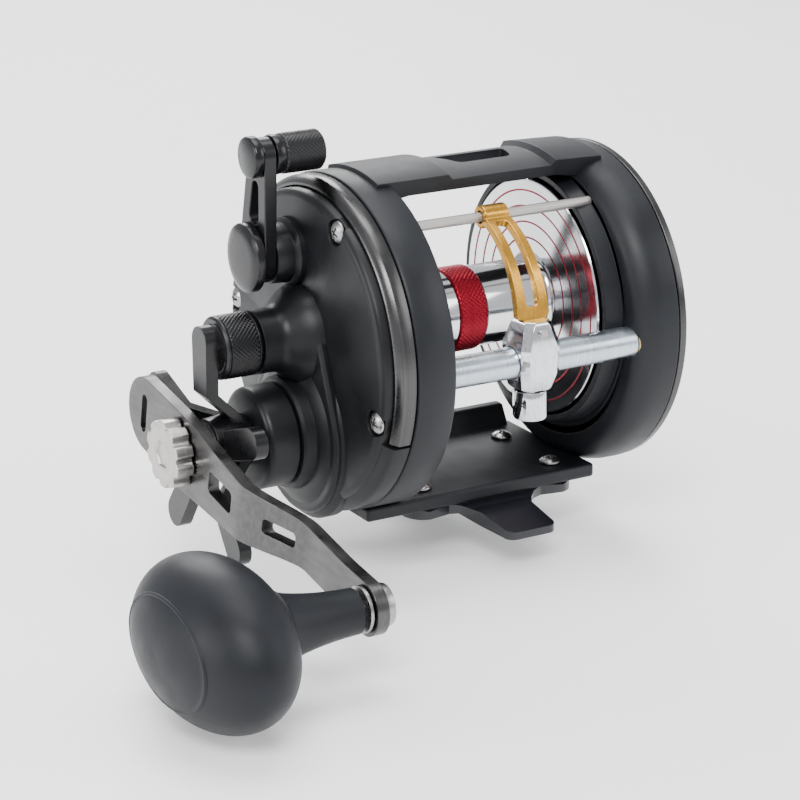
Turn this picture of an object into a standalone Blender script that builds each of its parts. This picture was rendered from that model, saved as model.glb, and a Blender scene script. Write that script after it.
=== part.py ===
"""Level-wind trolling reel, as an assembly of separate pieces.

The world origin is the centre of the foot's underside. X runs along the spool, with the
crank on the -X side. -Y is the front, where the level wind is, and +Z is up. Every size
below is in millimetres; finish() turns a mesh into metres.
"""

import math

import bmesh
import bpy
from mathutils import Matrix, Vector

MM = 0.001
GAP = 0.3  # clearance between two separate pieces

# Facets round a whole turn.
FINE = 32
MEDIUM = 20
COARSE = 14
SMALL = 8
KNOB_FACETS = 20

# Spool and frame.
FOOT_OFFSET = 3.0  # foot centre, towards the plain side of the spool's middle
SPOOL_WIDTH = 46.0  # between the two flanges
FLANGE_RADIUS = 29.8
FLANGE_THICK = 1.9
ARBOR_RADIUS = 10.1
BAND_WIDTH = 7.7
BAND_DEPTH = 1.6
SHAFT_RADIUS = 2.5
RING_DROP = 2.7  # frame rings' centre below the spool axis
RING_FORWARD = 0.94  # and in front of it
RING_RADIUS = 41.4
RING_WALL = 2.5
HANDLE_RING_WIDTH = 10.5
PLAIN_RING_WIDTH = 11.1
PLAIN_RING_TAPER = 0.5  # the plain ring is this much smaller in radius
PLAIN_SETBACK = 5.0  # plain wall outside its flange
HANDLE_SETBACK = 1.5  # handle wall outside its flange's inner face
WEB_THICK = 3.0
FLANGE_CLEARANCE = 0.8

# Bars and base of the frame.
THUMB_FRONT = 13.0
THUMB_REAR = 11.0
THUMB_THICK = 4.0
THUMB_RAISE = 0.9
THUMB_STEP = 1.4
THUMB_LOW_FROM = -8.0
THUMB_LOW_TO = 20.0
WINDOW_FROM = -3.5
WINDOW_TO = 16.5
WINDOW_DEPTH = 8.4
REAR_BAR_THICK = 3.2
REAR_BAR_HEIGHT = 20.0
BASE_FRONT = 17.5
BASE_REAR = 23.0
BASE_SINK = 3.1  # base's upper face above the rings' lowest point
BASE_THICK = 3.6
REAR_WEB_HEIGHT = 5.0

# Foot and its screws.
FOOT_HEIGHT = 5.4  # foot's underside below the base
FOOT_HALF_LENGTH = 24.0
FOOT_HALF_WIDTH = 17.0
FOOT_PLATE = 2.4
TONGUE_HALF_WIDTH = 7.5
TONGUE_REACH = 33.5
TONGUE_TIP_THICK = 1.9
FOOT_SCREW_X = 19.0
FOOT_SCREW_Y = 11.4
FOOT_SCREW_SHANK = 1.4
FOOT_SCREW_HEAD = 2.7

# Side plates, trim rings and their screws.
PLATE_WALL = 2.5
PLATE_DEPTH = 7.7  # handle plate's face beyond its seat
PLAIN_PLATE_DEPTH = 4.2
SPIGOT_LENGTH = 2.3
SPIGOT_WALL = 2.3
TRIM_WALL = 2.7
TRIM_WIDTH = 4.9
TRIM_HALF_ANGLE = 112.0
PLAIN_TRIM_WIDTH = 2.4
HANDLE_SCREW_INSET = 5.8
LUG_RADIUS = 3.7
PLAIN_SCREW_CIRCLE = 34.0
PLATE_SCREW_SHANK = 1.3
PLATE_SCREW_HEAD = 2.7
HANDLE_SCREW_ANGLES = (117.0, 196.0, 5.0)
PLAIN_SCREW_ANGLES = (60.0, 240.0)

# Crank and drive gears.
GEAR_MODULE = 24.0 / 27.0
MAIN_TEETH = 43
PINION_TEETH = 11
GEAR_THICK = 4.0
GEAR_BACKLASH = 0.3
PRESSURE_ANGLE = math.radians(25.0)
SLEEVE_RADIUS = 4.0
STUD_RADIUS = 1.9
WASHER_RADIUS = 13.0
WASHER_THICK = 0.8
RATCHET_RADIUS = 9.0
RATCHET_TEETH = 12
RATCHET_THICK = 1.8
BEARING_HOUSING_RADIUS = 12.6
BEARING_HOUSING_LENGTH = 8.4
STAR_REACH = 30.0
STAR_ARM_WIDTH = 7.6
STAR_ARM_THICK = 3.2
STAR_ARMS = 5
ARM_LENGTH = 77.0
ARM_DROP_ANGLE = 11.2  # knob end below the crank axis, in degrees
ARM_THICK = 3.0
ARM_HALF_WIDTH = 9.8
ARM_COUNTER_REACH = 28.5
ARM_END_RADIUS = 6.3
ARM_JOG = 7.0  # inward step between the crank and the knob
NUT_RADIUS = 8.3
NUT_LENGTH = 4.7

# Handle knob.
POST_RADIUS = 2.2
KNOB_NECK_RADIUS = 5.2
KNOB_NECK_LENGTH = 20.0
KNOB_LENGTH = 30.0
KNOB_HALF_LONG = 27.5
KNOB_HALF_SHORT = 18.6

# Pinion, yoke and clutch.
YOKE_THICK = 1.0
YOKE_POST_SPREAD = 15.0
YOKE_POST_RADIUS = 1.1
YOKE_RADIUS = 6.8
PINION_COLLAR = 1.2
PIN_RADIUS = 0.8  # cross pin of the spool shaft, which drives in the pinion's slot
PINION_COLLAR_RADIUS = 5.2
PINION_NECK_RADIUS = 3.4
YOKE_THROW = 1.8
LEVER_Y = 5.0
LEVER_Z = 19.5
LEVER_KNOB_RISE = 0.82  # lever's knob above the rings' highest point
LEVER_LEAN = 96.8  # direction of the lever from +Y towards +Z, in degrees
LEVER_THICK = 3.2
LEVER_THROW = 38.0
CAM_SHAFT_RADIUS = 3.0
CAM_RADIUS = 5.2
CAM_TIP_RADIUS = 1.6
LEVER_KNOB_RADIUS = 5.0
LEVER_KNOB_LENGTH = 13.0
TENSION_RADIUS = 7.8
TENSION_LENGTH = 9.5

# Level wind.
WORM_INSET = 6.84  # worm axis behind the rings' foremost point
WORM_DROP = 3.6
TUBE_RADIUS = 3.8
TUBE_WALL = 0.6
WORM_GROOVE = 0.8
WORM_TURNS = 5
ROD_BACK = 18.0  # guide rod behind and above the worm axis
ROD_RISE = 31.3
ROD_RADIUS = 1.25
CARRIAGE_HALF_WIDTH = 5.5
CARRIAGE_HALF_DEPTH = 5.8
CARRIAGE_TOP = 10.2
CARRIAGE_BOTTOM = 7.0
CARRIAGE_TRAVEL = 16.0
PAWL_RADIUS = 2.1
PAWL_CAP_RADIUS = 4.2
PAWL_CAP_LENGTH = 7.4
GUIDE_WIDTH_LOW = 9.0
GUIDE_WIDTH_HIGH = 6.8
GUIDE_SLOT = 3.2
GUIDE_THICK = 2.0
GUIDE_SWEEP = 66.0
SPOOL_GEAR_TEETH = 30
IDLER_TEETH = 42
WORM_GEAR_TEETH = 16
LEVEL_GEAR_THICK = 2.4
LEVEL_BACKLASH = 0.2

# Click.
HUB_RADIUS = 4.5
CLICK_TRAVEL = 4.0
CLICK_TEETH = 16
CLICK_RADIUS = 7.6

# Positions worked out from the sizes above. X is measured from the spool's middle.
HALF_SPOOL = SPOOL_WIDTH / 2
FLANGE_OUT = HALF_SPOOL + FLANGE_THICK
HANDLE_WALL = -(HALF_SPOOL + HANDLE_SETBACK)
HANDLE_WEB = HANDLE_WALL - WEB_THICK
HANDLE_RIM = HANDLE_WALL - HANDLE_RING_WIDTH
PLAIN_WALL = HALF_SPOOL + PLAIN_SETBACK
PLAIN_WEB = PLAIN_WALL + WEB_THICK - 0.4
PLAIN_RIM = PLAIN_WALL + PLAIN_RING_WIDTH
PLAIN_RADIUS = RING_RADIUS - PLAIN_RING_TAPER
RING_CENTRE = (-RING_FORWARD, -RING_DROP)
FLANGE_BORE = FLANGE_RADIUS + FLANGE_CLEARANCE
WEB_BORE = FLANGE_BORE - 4.0
PLATE_SEAT = HANDLE_RIM - GAP
PLATE_FACE = PLATE_SEAT - PLATE_DEPTH
PLAIN_SEAT = PLAIN_RIM + GAP
PLAIN_FACE = PLAIN_SEAT + PLAIN_PLATE_DEPTH
HANDLE_SCREW_CIRCLE = RING_RADIUS - HANDLE_SCREW_INSET
SPIGOT_RADIUS = RING_RADIUS - RING_WALL - GAP - 0.1
TRIM_RADIUS = RING_RADIUS - 0.4
TRIM_INSIDE = TRIM_RADIUS - TRIM_WALL + 0.2
BODY_RADIUS = TRIM_INSIDE - GAP
BRIDGE_OUT = HANDLE_WEB - GAP - 1.8
GEAR_DISTANCE = GEAR_MODULE * (MAIN_TEETH + PINION_TEETH) / 2
MAIN_PITCH = GEAR_MODULE * MAIN_TEETH / 2
MAIN_OUTSIDE = MAIN_PITCH + 0.9 * GEAR_MODULE
HOUSING_INSIDE = MAIN_OUTSIDE + 0.6
HOUSING_RADIUS = HOUSING_INSIDE + 2.0
MAIN_GEAR_IN = PLATE_SEAT - 1.7
MAIN_GEAR_OUT = MAIN_GEAR_IN - GEAR_THICK
DRAG_END = MAIN_GEAR_OUT - 2 * (WASHER_THICK + GAP)
HOUSING_CAVITY = MAIN_GEAR_OUT - 0.6
DRAG_CAVITY = DRAG_END - 0.9
COLLAR_END = DRAG_CAVITY - 5.1
HOUSING_END = COLLAR_END - GAP - BEARING_HOUSING_LENGTH
BOSS_END = PLATE_FACE - 13.6
LEVER_KNOB_TOP = RING_RADIUS - RING_DROP + LEVER_KNOB_RADIUS + LEVER_KNOB_RISE
LEVER_LENGTH = (LEVER_KNOB_TOP - LEVER_Z) / math.sin(math.radians(LEVER_LEAN))
TENSION_IN = BOSS_END - GAP
TENSION_OUT = TENSION_IN - TENSION_LENGTH
STAR_ARM_IN = TENSION_OUT - 0.7
STAR_ARM_OUT = STAR_ARM_IN - STAR_ARM_THICK
ARM_IN = STAR_ARM_OUT - 2.6
ARM_OUT = ARM_IN - ARM_THICK
KNOB_SIDE_IN = ARM_IN + ARM_JOG
KNOB_SIDE_OUT = ARM_OUT + ARM_JOG
WORM_FRONT = RING_FORWARD + RING_RADIUS - WORM_INSET
WORM_RADIUS = TUBE_RADIUS - TUBE_WALL - GAP
WORM_PLACE = (-WORM_FRONT, -WORM_DROP)
ROD_PLACE = (ROD_BACK - WORM_FRONT, ROD_RISE - WORM_DROP)
LEVEL_DISTANCE = math.hypot(WORM_FRONT, WORM_DROP)
LEVEL_MODULE = 2 * LEVEL_DISTANCE / (SPOOL_GEAR_TEETH + WORM_GEAR_TEETH + 2 * IDLER_TEETH)
LEVEL_DIRECTION = math.atan2(-WORM_DROP, -WORM_FRONT)
IDLER_DISTANCE = LEVEL_MODULE * (SPOOL_GEAR_TEETH + IDLER_TEETH) / 2
IDLER_PLACE = (
    IDLER_DISTANCE * math.cos(LEVEL_DIRECTION),
    IDLER_DISTANCE * math.sin(LEVEL_DIRECTION),
)
LEVEL_GEAR_IN = PLAIN_WEB + 1.0
LEVEL_GEAR_OUT = LEVEL_GEAR_IN + LEVEL_GEAR_THICK
CLICK_IN = LEVEL_GEAR_OUT + GAP
CLICK_OUT = CLICK_IN + 0.7
PLAIN_BEARING_IN = CLICK_OUT + GAP
BEARING_RADIUS = SHAFT_RADIUS + GAP + 2.9
BEARING_WIDTH = 3.5
BASE_TOP_DROP = RING_RADIUS + RING_DROP - BASE_SINK
BASE_BOTTOM_DROP = BASE_TOP_DROP + BASE_THICK
SPOOL_HEIGHT = BASE_BOTTOM_DROP + FOOT_HEIGHT
FOOT_TOP_DROP = BASE_BOTTOM_DROP + GAP

MATERIALS = {
    "black_frame": ((0.022, 0.025, 0.030), 0.45, 0.0),
    "black_plate": ((0.018, 0.020, 0.024), 0.38, 0.0),
    "black_gloss": ((0.008, 0.008, 0.010), 0.18, 0.0),
    "black_metal": ((0.020, 0.021, 0.024), 0.35, 0.6),
    "gunmetal": ((0.16, 0.16, 0.17), 0.32, 0.9),
    "arm_metal": ((0.20, 0.20, 0.215), 0.36, 0.9),
    "polished": ((0.72, 0.72, 0.74), 0.10, 1.0),
    "bright_zinc": ((0.62, 0.66, 0.70), 0.30, 1.0),
    "stainless": ((0.46, 0.44, 0.42), 0.26, 1.0),
    "screw_steel": ((0.50, 0.49, 0.48), 0.30, 1.0),
    "gold": ((0.64, 0.38, 0.10), 0.28, 0.9),
    "red": ((0.32, 0.015, 0.035), 0.32, 0.7),
    "brass": ((0.55, 0.42, 0.16), 0.35, 1.0),
    "carbon": ((0.03, 0.03, 0.03), 0.70, 0.0),
    "nylon": ((0.75, 0.74, 0.68), 0.50, 0.0),
    "rubber": ((0.030, 0.034, 0.040), 0.62, 0.0),
}


def make_material(name):
    colour, roughness, metallic = MATERIALS[name]
    material = bpy.data.materials.new(name)
    material.use_nodes = True
    shader = material.node_tree.nodes["Principled BSDF"]
    shader.inputs["Base Color"].default_value = (*colour, 1.0)
    shader.inputs["Roughness"].default_value = roughness
    shader.inputs["Metallic"].default_value = metallic
    return material


def empty_at(name, place, parent=None):
    """An empty on an axis: pieces that turn about the axis hang from it."""
    empty = bpy.data.objects.new(name, None)
    empty.location = Vector(place) * MM
    empty.parent = parent
    bpy.context.scene.collection.objects.link(empty)
    return empty


def finish(name, bm, parent, material=None):
    """Turns a mesh in millimetres into an object in metres."""
    bmesh.ops.scale(bm, vec=(MM, MM, MM), verts=bm.verts)
    mesh = bpy.data.meshes.new(name)
    bm.to_mesh(mesh)
    bm.free()
    mesh.shade_smooth()
    mesh.set_sharp_from_angle(angle=math.radians(32.0))
    obj = bpy.data.objects.new(name, mesh)
    obj.parent = parent
    bpy.context.scene.collection.objects.link(obj)
    if material:
        if material not in bpy.data.materials:
            make_material(material)
        mesh.materials.append(bpy.data.materials[material])
    return obj


def boolean(obj, bm, operation):
    """Adds a Boolean whose second shape is a hidden helper in the same place."""
    helper = finish(f"{obj.name}_helper_{len(obj.modifiers)}", bm, obj.parent)
    helper.hide_render = True
    helper.display_type = "WIRE"
    modifier = obj.modifiers.new(operation.lower(), "BOOLEAN")
    modifier.operation = operation
    modifier.object = helper


def cut(obj, *shapes):
    for shape in shapes:
        boolean(obj, shape, "DIFFERENCE")


def join(obj, *shapes):
    for shape in shapes:
        boolean(obj, shape, "UNION")


def bevel(obj, width, angle=40.0, segments=1):
    modifier = obj.modifiers.new("bevel", "BEVEL")
    modifier.width = width * MM
    modifier.segments = segments
    modifier.limit_method = "ANGLE"
    modifier.angle_limit = math.radians(angle)


def close_up(bm):
    bmesh.ops.remove_doubles(bm, verts=bm.verts, dist=1e-5)
    bmesh.ops.recalc_face_normals(bm, faces=bm.faces)
    return bm


def turned(profile, centre=(0.0, 0.0), steps=24, sweep=360.0, start=0.0):
    """A profile of (x, radius) points, spun about a line along X through centre."""
    bm = bmesh.new()
    angle = math.radians(start)
    across = Vector((0.0, math.cos(angle), math.sin(angle)))
    middle = Vector((0.0, *centre))
    points = [bm.verts.new(middle + Vector((x, 0, 0)) + across * r) for x, r in profile]
    open_chain = profile[0][1] == 0.0 and profile[-1][1] == 0.0
    ends = points[1:] if open_chain else points[1:] + points[:1]
    edges = [bm.edges.new(pair) for pair in zip(points, ends)]
    if sweep < 360.0:
        edges.append(bm.faces.new(points))
    bmesh.ops.spin(
        bm,
        geom=points + edges,
        cent=middle,
        axis=(1.0, 0.0, 0.0),
        angle=math.radians(sweep),
        steps=steps,
        use_merge=sweep == 360.0,
        use_duplicate=False,
    )
    return close_up(bm)


def rod(radius, x_from, x_to, centre=(0.0, 0.0), steps=COARSE):
    return turned([(x_from, 0.0), (x_from, radius), (x_to, radius), (x_to, 0.0)], centre, steps)


def ring(inner, outer, x_from, x_to, centre=(0.0, 0.0), steps=20, chamfer=0.0):
    c = chamfer
    profile = [(x_from, inner), (x_from, outer - c)]
    if c:
        profile += [(x_from + math.copysign(c, x_to - x_from), outer)]
        profile += [(x_to - math.copysign(c, x_to - x_from), outer)]
    profile += [(x_to, outer - c), (x_to, inner)]
    return turned(profile, centre, steps)


def stepped(start, stages, centre, steps):
    """A stack of rods that share an axis, each given by where it ends and its radius."""
    profile = [(start, 0.0)]
    for end, radius in stages:
        profile += [(profile[-1][0], radius), (end, radius)]
    profile.append((profile[-1][0], 0.0))
    return turned(profile, centre, steps)


def upright(profile, steps=24):
    """A profile of (z, radius) points, spun about the vertical through the parent."""
    bm = turned(profile, steps=steps)
    bmesh.ops.rotate(bm, verts=bm.verts, matrix=Matrix.Rotation(math.radians(-90.0), 3, "Y"))
    return bm


def upright_rod(radius, z_from, z_to, steps=20):
    return upright([(z_from, 0.0), (z_from, radius), (z_to, radius), (z_to, 0.0)], steps)


def moved(bm, x=0.0, y=0.0, z=0.0):
    bmesh.ops.translate(bm, verts=bm.verts, vec=(x, y, z))
    return bm


def box(x_range, y_range, z_range):
    bm = bmesh.new()
    bmesh.ops.create_cube(bm, size=1.0)
    ranges = (x_range, y_range, z_range)
    bmesh.ops.scale(bm, vec=[abs(high - low) for low, high in ranges], verts=bm.verts)
    return moved(bm, *[(low + high) / 2 for low, high in ranges])


def prism(outline, low, high, along="X"):
    """An outline extruded along one axis: (y, z) along X, (x, z) along Y, (x, y) along Z."""
    bm = bmesh.new()
    places = {
        "X": lambda a, b: (low, a, b),
        "Y": lambda a, b: (a, low, b),
        "Z": lambda a, b: (a, b, low),
    }
    face = bm.faces.new([bm.verts.new(places[along](a, b)) for a, b in outline])
    grown = bmesh.ops.extrude_face_region(bm, geom=[face])["geom"]
    shift = Vector([high - low if axis == along else 0.0 for axis in "XYZ"])
    moving = [item for item in grown if isinstance(item, bmesh.types.BMVert)]
    bmesh.ops.translate(bm, verts=moving, vec=shift)
    return close_up(bm)


def on_circle(radius, degrees, centre=(0.0, 0.0)):
    angle = math.radians(degrees)
    return (centre[0] + radius * math.cos(angle), centre[1] + radius * math.sin(angle))


def arc(centre, radius, start, end, count):
    """Points along an arc, with angles in degrees."""
    step = (end - start) / (count - 1)
    return [on_circle(radius, start + step * i, centre) for i in range(count)]


def hull_outline(c0, r0, c1, r1, count=9):
    """The outline of two circles with their outer tangents."""
    gap = Vector(c1) - Vector(c0)
    direction = math.degrees(math.atan2(gap.y, gap.x))
    lean = math.degrees(math.acos((r0 - r1) / gap.length))
    far = arc(c1, r1, direction - lean, direction + lean, count)
    near = arc(c0, r0, direction + lean, direction + 360.0 - lean, count)
    return far + near


def gear_outline(teeth, module, phase, backlash):
    """Straight-flanked teeth that lie inside the involute, with one centred on the phase."""
    pitch = module * teeth / 2
    base = pitch * math.cos(PRESSURE_ANGLE)
    tip = pitch + 0.85 * module
    root = pitch - 1.1 * module
    start = max(base, root + 0.05 * module)
    half_pitch = math.pi / (2 * teeth) - backlash / (4 * pitch)

    def involute(angle):
        return math.tan(angle) - angle

    def half_width(radius):
        return half_pitch + involute(PRESSURE_ANGLE) - involute(math.acos(base / radius))

    flank = [(root, half_width(start)), (tip, half_width(tip))]
    outline = []
    for tooth in range(teeth):
        middle = phase + 2 * math.pi * tooth / teeth
        for r, half in flank:
            outline.append((r * math.cos(middle - half), r * math.sin(middle - half)))
        for r, half in reversed(flank):
            outline.append((r * math.cos(middle + half), r * math.sin(middle + half)))
    return outline


def meshed_phase(direction, teeth, mate_teeth, mate_phase):
    """The phase of a gear that meshes with a mate lying against the given direction."""
    offset = (mate_phase - direction) * mate_teeth / teeth
    return direction + math.pi + math.pi / teeth - offset


def strip(stations, parent, name, material):
    """A bar through stations, each a ring of four corners, closed at both ends."""
    bm = bmesh.new()
    rings = [[bm.verts.new(corner) for corner in station] for station in stations]
    for one, two in zip(rings, rings[1:]):
        for i in range(4):
            j = (i + 1) % 4
            bm.faces.new((one[i], one[j], two[j], two[i]))
    bm.faces.new(rings[0][::-1])
    bm.faces.new(rings[-1])
    close_up(bm)
    if name is None:
        return bm
    return finish(name, bm, parent, material)


def build_frame(spool):
    """Two rings joined by the thumb bar, the rear bar and the base, in one piece."""
    wall_radius = RING_RADIUS - RING_WALL
    handle_ring = turned(
        [
            (HANDLE_WALL, WEB_BORE),
            (HANDLE_WALL, RING_RADIUS - 0.6),
            (HANDLE_WALL - 0.6, RING_RADIUS),
            (HANDLE_RIM, RING_RADIUS),
            (HANDLE_RIM, wall_radius),
            (HANDLE_WEB, wall_radius),
            (HANDLE_WEB, WEB_BORE),
        ],
        RING_CENTRE,
        FINE,
    )
    frame = finish("frame", handle_ring, spool, "black_frame")
    join(frame, plain_ring(), plain_collar())
    join(frame, thumb_bar())
    join(frame, rear_bar(), base_block(), rear_web())
    spigot_room = (PLATE_SEAT + SPIGOT_LENGTH + GAP, HANDLE_RIM - 1.0)
    cut(frame, rod(SPIGOT_RADIUS + GAP, *spigot_room, RING_CENTRE, FINE))
    join(frame, *plate_lugs())
    cut(frame, rod(FLANGE_BORE, HANDLE_WEB - 2.0, PLAIN_WEB + 2.0, steps=FINE + 3))
    cut(frame, thumb_window())
    cut(frame, *frame_holes())


def plain_ring():
    """The plain side's ring: a flat wall that flares out to its rim."""
    inside = PLAIN_RADIUS - RING_WALL - 0.2
    return turned(
        [
            (PLAIN_WALL, WEB_BORE),
            (PLAIN_WALL, PLAIN_RADIUS - 3.7),
            (PLAIN_WALL + 4.9, PLAIN_RADIUS - 0.3),
            (PLAIN_RIM, PLAIN_RADIUS),
            (PLAIN_RIM, inside),
            (PLAIN_WALL + 7.0, inside),
            (PLAIN_WEB, PLAIN_RADIUS - 5.1),
            (PLAIN_WEB, WEB_BORE),
        ],
        RING_CENTRE,
        FINE,
    )


def plain_collar():
    """The collar round the plain side's flange, on the spool's own axis."""
    profile = [
        (FLANGE_OUT - 1.1, FLANGE_BORE - 1.0),
        (FLANGE_OUT - 1.1, FLANGE_BORE + 1.6),
        (PLAIN_WALL + 0.7, FLANGE_BORE + 2.6),
        (PLAIN_WALL + 0.7, FLANGE_BORE - 1.0),
    ]
    return turned(profile, steps=FINE)


def thumb_bar():
    """A curved bar over the spool, lower in the middle where the thumb rests."""
    raised = RING_RADIUS + THUMB_RAISE
    low = raised - THUMB_STEP
    under = low - THUMB_THICK
    profile = [
        (HANDLE_WALL - 5.2, raised - 2.0),
        (HANDLE_WALL - 4.4, raised),
        (THUMB_LOW_FROM - 1.3, raised),
        (THUMB_LOW_FROM, low),
        (THUMB_LOW_TO, low),
        (THUMB_LOW_TO + 1.3, raised),
        (PLAIN_WALL + 6.6, raised - PLAIN_RING_TAPER),
        (PLAIN_WALL + 7.4, raised - 2.0 - PLAIN_RING_TAPER),
        (PLAIN_WALL + 4.4, under + 0.2),
        (PLAIN_WALL - 1.2, under + 0.2),
        (PLAIN_WALL - 6.0, under + 1.1),
        (HANDLE_WALL + 5.0, under + 1.1),
        (HANDLE_WALL - 0.9, under + 0.2),
        (HANDLE_WALL - 2.6, under + 0.2),
    ]
    front = math.degrees(math.asin((THUMB_FRONT - RING_FORWARD) / raised))
    rear = math.degrees(math.asin((THUMB_REAR + RING_FORWARD) / raised))
    return turned(profile, RING_CENTRE, 7, front + rear, 90.0 - rear)


def thumb_window():
    top = RING_CENTRE[1] + RING_RADIUS
    half = WINDOW_DEPTH / 2
    outline = [
        (WINDOW_FROM, half),
        (WINDOW_TO, half),
        (WINDOW_TO - 2.6, -half),
        (WINDOW_FROM + 2.6, -half),
    ]
    return prism(outline, top - 12.0, top + 2.0, "Z")


def rear_bar():
    """The bar behind the spool, level with its axis."""
    middle = RING_CENTRE[0] + RING_RADIUS - 5.6
    from_x = HANDLE_WALL - 1.5
    to_x = PLAIN_WALL + 1.5
    outer = middle + REAR_BAR_THICK / 2
    inner = middle - REAR_BAR_THICK / 2
    outline = [
        (inner, -REAR_BAR_HEIGHT - 1.0),
        (outer - 1.6, -REAR_BAR_HEIGHT - 1.0),
        (outer, -REAR_BAR_HEIGHT + 4.0),
        (outer, -4.0),
        (outer - 1.0, -1.0),
        (inner, -1.0),
    ]
    return prism(outline, from_x, to_x)


def base_block():
    from_x = HANDLE_RIM + 0.4
    to_x = PLAIN_WALL + 3.5
    return box((from_x, to_x), (-BASE_FRONT, BASE_REAR), (-BASE_BOTTOM_DROP, -BASE_TOP_DROP))


def rear_web():
    """A low wall along the back of the base."""
    top = -BASE_TOP_DROP + REAR_WEB_HEIGHT
    outline = [
        (BASE_REAR - 4.0, -BASE_TOP_DROP - 1.0),
        (BASE_REAR, -BASE_TOP_DROP - 1.0),
        (BASE_REAR + 2.4, top),
        (BASE_REAR - 0.6, top),
    ]
    return prism(outline, HANDLE_WALL - 1.5, PLAIN_WALL + 1.5)


def handle_screws():
    return [on_circle(HANDLE_SCREW_CIRCLE, angle, RING_CENTRE) for angle in HANDLE_SCREW_ANGLES]


def plain_screws():
    return [on_circle(PLAIN_SCREW_CIRCLE, angle, RING_CENTRE) for angle in PLAIN_SCREW_ANGLES]


def plate_lugs():
    """Bosses on the webs that take the side plates' screws."""
    handle_end = PLATE_SEAT + SPIGOT_LENGTH + GAP
    plain_end = PLAIN_SEAT - SPIGOT_LENGTH - GAP
    handle = [rod(LUG_RADIUS, HANDLE_WEB + 1.0, handle_end, place, 11) for place in handle_screws()]
    plain = [rod(3.0, PLAIN_WEB - 1.0, plain_end, place, 11) for place in plain_screws()]
    return handle + plain


def frame_holes():
    """Seats for the tube and the guide rod, screw holes, and the idler train's recess."""
    hole = PLATE_SCREW_SHANK + GAP
    gear_room = (PLAIN_SEAT - SPIGOT_LENGTH, worm_gear_outside() + 0.5)
    tube_stages = ((PLAIN_WEB + 0.4, TUBE_RADIUS + GAP), gear_room)
    shapes = [
        stepped(HANDLE_WEB - 1.0, tube_stages, WORM_PLACE, 18),
        rod(ROD_RADIUS + GAP, HANDLE_WEB - 1.0, PLAIN_WALL + 1.4, ROD_PLACE, 14),
    ]
    for place in handle_screws():
        shapes.append(rod(hole, HANDLE_WEB - 1.7, PLATE_SEAT + 1.5, place, SMALL))
    for place in plain_screws():
        shapes.append(rod(hole, PLAIN_WEB + 1.0, PLAIN_SEAT - 1.5, place, SMALL))
    low = -BASE_BOTTOM_DROP - 1.0
    high = -BASE_TOP_DROP + 1.0
    for x, y in foot_screw_places():
        shapes.append(moved(upright_rod(FOOT_SCREW_SHANK + GAP, low, high, 12), x, y))
    return shapes


def worm_gear_outside():
    return LEVEL_MODULE * (WORM_GEAR_TEETH / 2 + 0.85)


def foot_screw_places():
    return [
        (FOOT_OFFSET + side * FOOT_SCREW_X, end * FOOT_SCREW_Y)
        for end in (-1, 1)
        for side in (-1, 1)
    ]


def build_foot(spool):
    """The saddle that goes in a rod's reel seat: a wide plate and two sloping tongues."""
    top = -FOOT_TOP_DROP
    half_x, half_y, tongue = FOOT_HALF_LENGTH, FOOT_HALF_WIDTH, TONGUE_HALF_WIDTH
    quarter = [
        (half_x, 0.0),
        (half_x, half_y - 5.0),
        (half_x - 5.0, half_y),
        (tongue + 6.0, half_y - 1.5),
        (tongue, half_y + 4.0),
        (tongue - 0.6, TONGUE_REACH - 2.0),
        (tongue - 3.0, TONGUE_REACH),
    ]
    right = quarter + [(x, -y) for x, y in reversed(quarter[1:])]
    outline = right + [(-x, -y) for x, y in quarter[1:]] + [(-x, y) for x, y in reversed(quarter[1:])]
    order = sorted(set(outline), key=lambda p: math.atan2(p[1], p[0]))
    shifted = [(x + FOOT_OFFSET, y) for x, y in order]
    plan = prism(shifted, -SPOOL_HEIGHT, top, "Z")
    foot = finish("reel_foot", plan, spool, "black_gloss")
    side_cut_top = -SPOOL_HEIGHT + TONGUE_TIP_THICK
    for end in (-1, 1):
        slope = [
            (end * (half_y - 1.0), top + 1.0),
            (end * (half_y + 1.0), top - 0.6),
            (end * (TONGUE_REACH + 0.5), side_cut_top),
            (end * (TONGUE_REACH + 0.5), top + 1.0),
        ]
        cut(foot, prism(slope, FOOT_OFFSET - half_x, FOOT_OFFSET + half_x))
    for side in (-1, 1):
        inner = FOOT_OFFSET + side * tongue
        outer = FOOT_OFFSET + side * (half_x + 1.0)
        x_range = (min(inner, outer), max(inner, outer))
        cut(foot, box(x_range, (-half_y - 8.0, half_y + 8.0), (-SPOOL_HEIGHT - 1.0, top - FOOT_PLATE)))
    for x, y in foot_screw_places():
        cut(foot, moved(upright_rod(FOOT_SCREW_SHANK + GAP, -SPOOL_HEIGHT - 1.0, top + 1.0, 12), x, y))


def build_foot_screws(spool):
    seat = -BASE_TOP_DROP + GAP
    end = -FOOT_TOP_DROP - FOOT_PLATE
    profile = [
        (seat + 1.5, 0.0),
        (seat + 1.5, 1.4),
        (seat + 0.9, FOOT_SCREW_HEAD - 0.3),
        (seat, FOOT_SCREW_HEAD),
        (seat, FOOT_SCREW_SHANK),
        (end, FOOT_SCREW_SHANK),
        (end, 0.0),
    ]
    for number, (x, y) in enumerate(foot_screw_places(), 1):
        screw = finish(f"foot_screw_{number}", upright(profile, SMALL), spool, "screw_steel")
        screw.location = Vector((x, y, 0.0)) * MM


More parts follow.
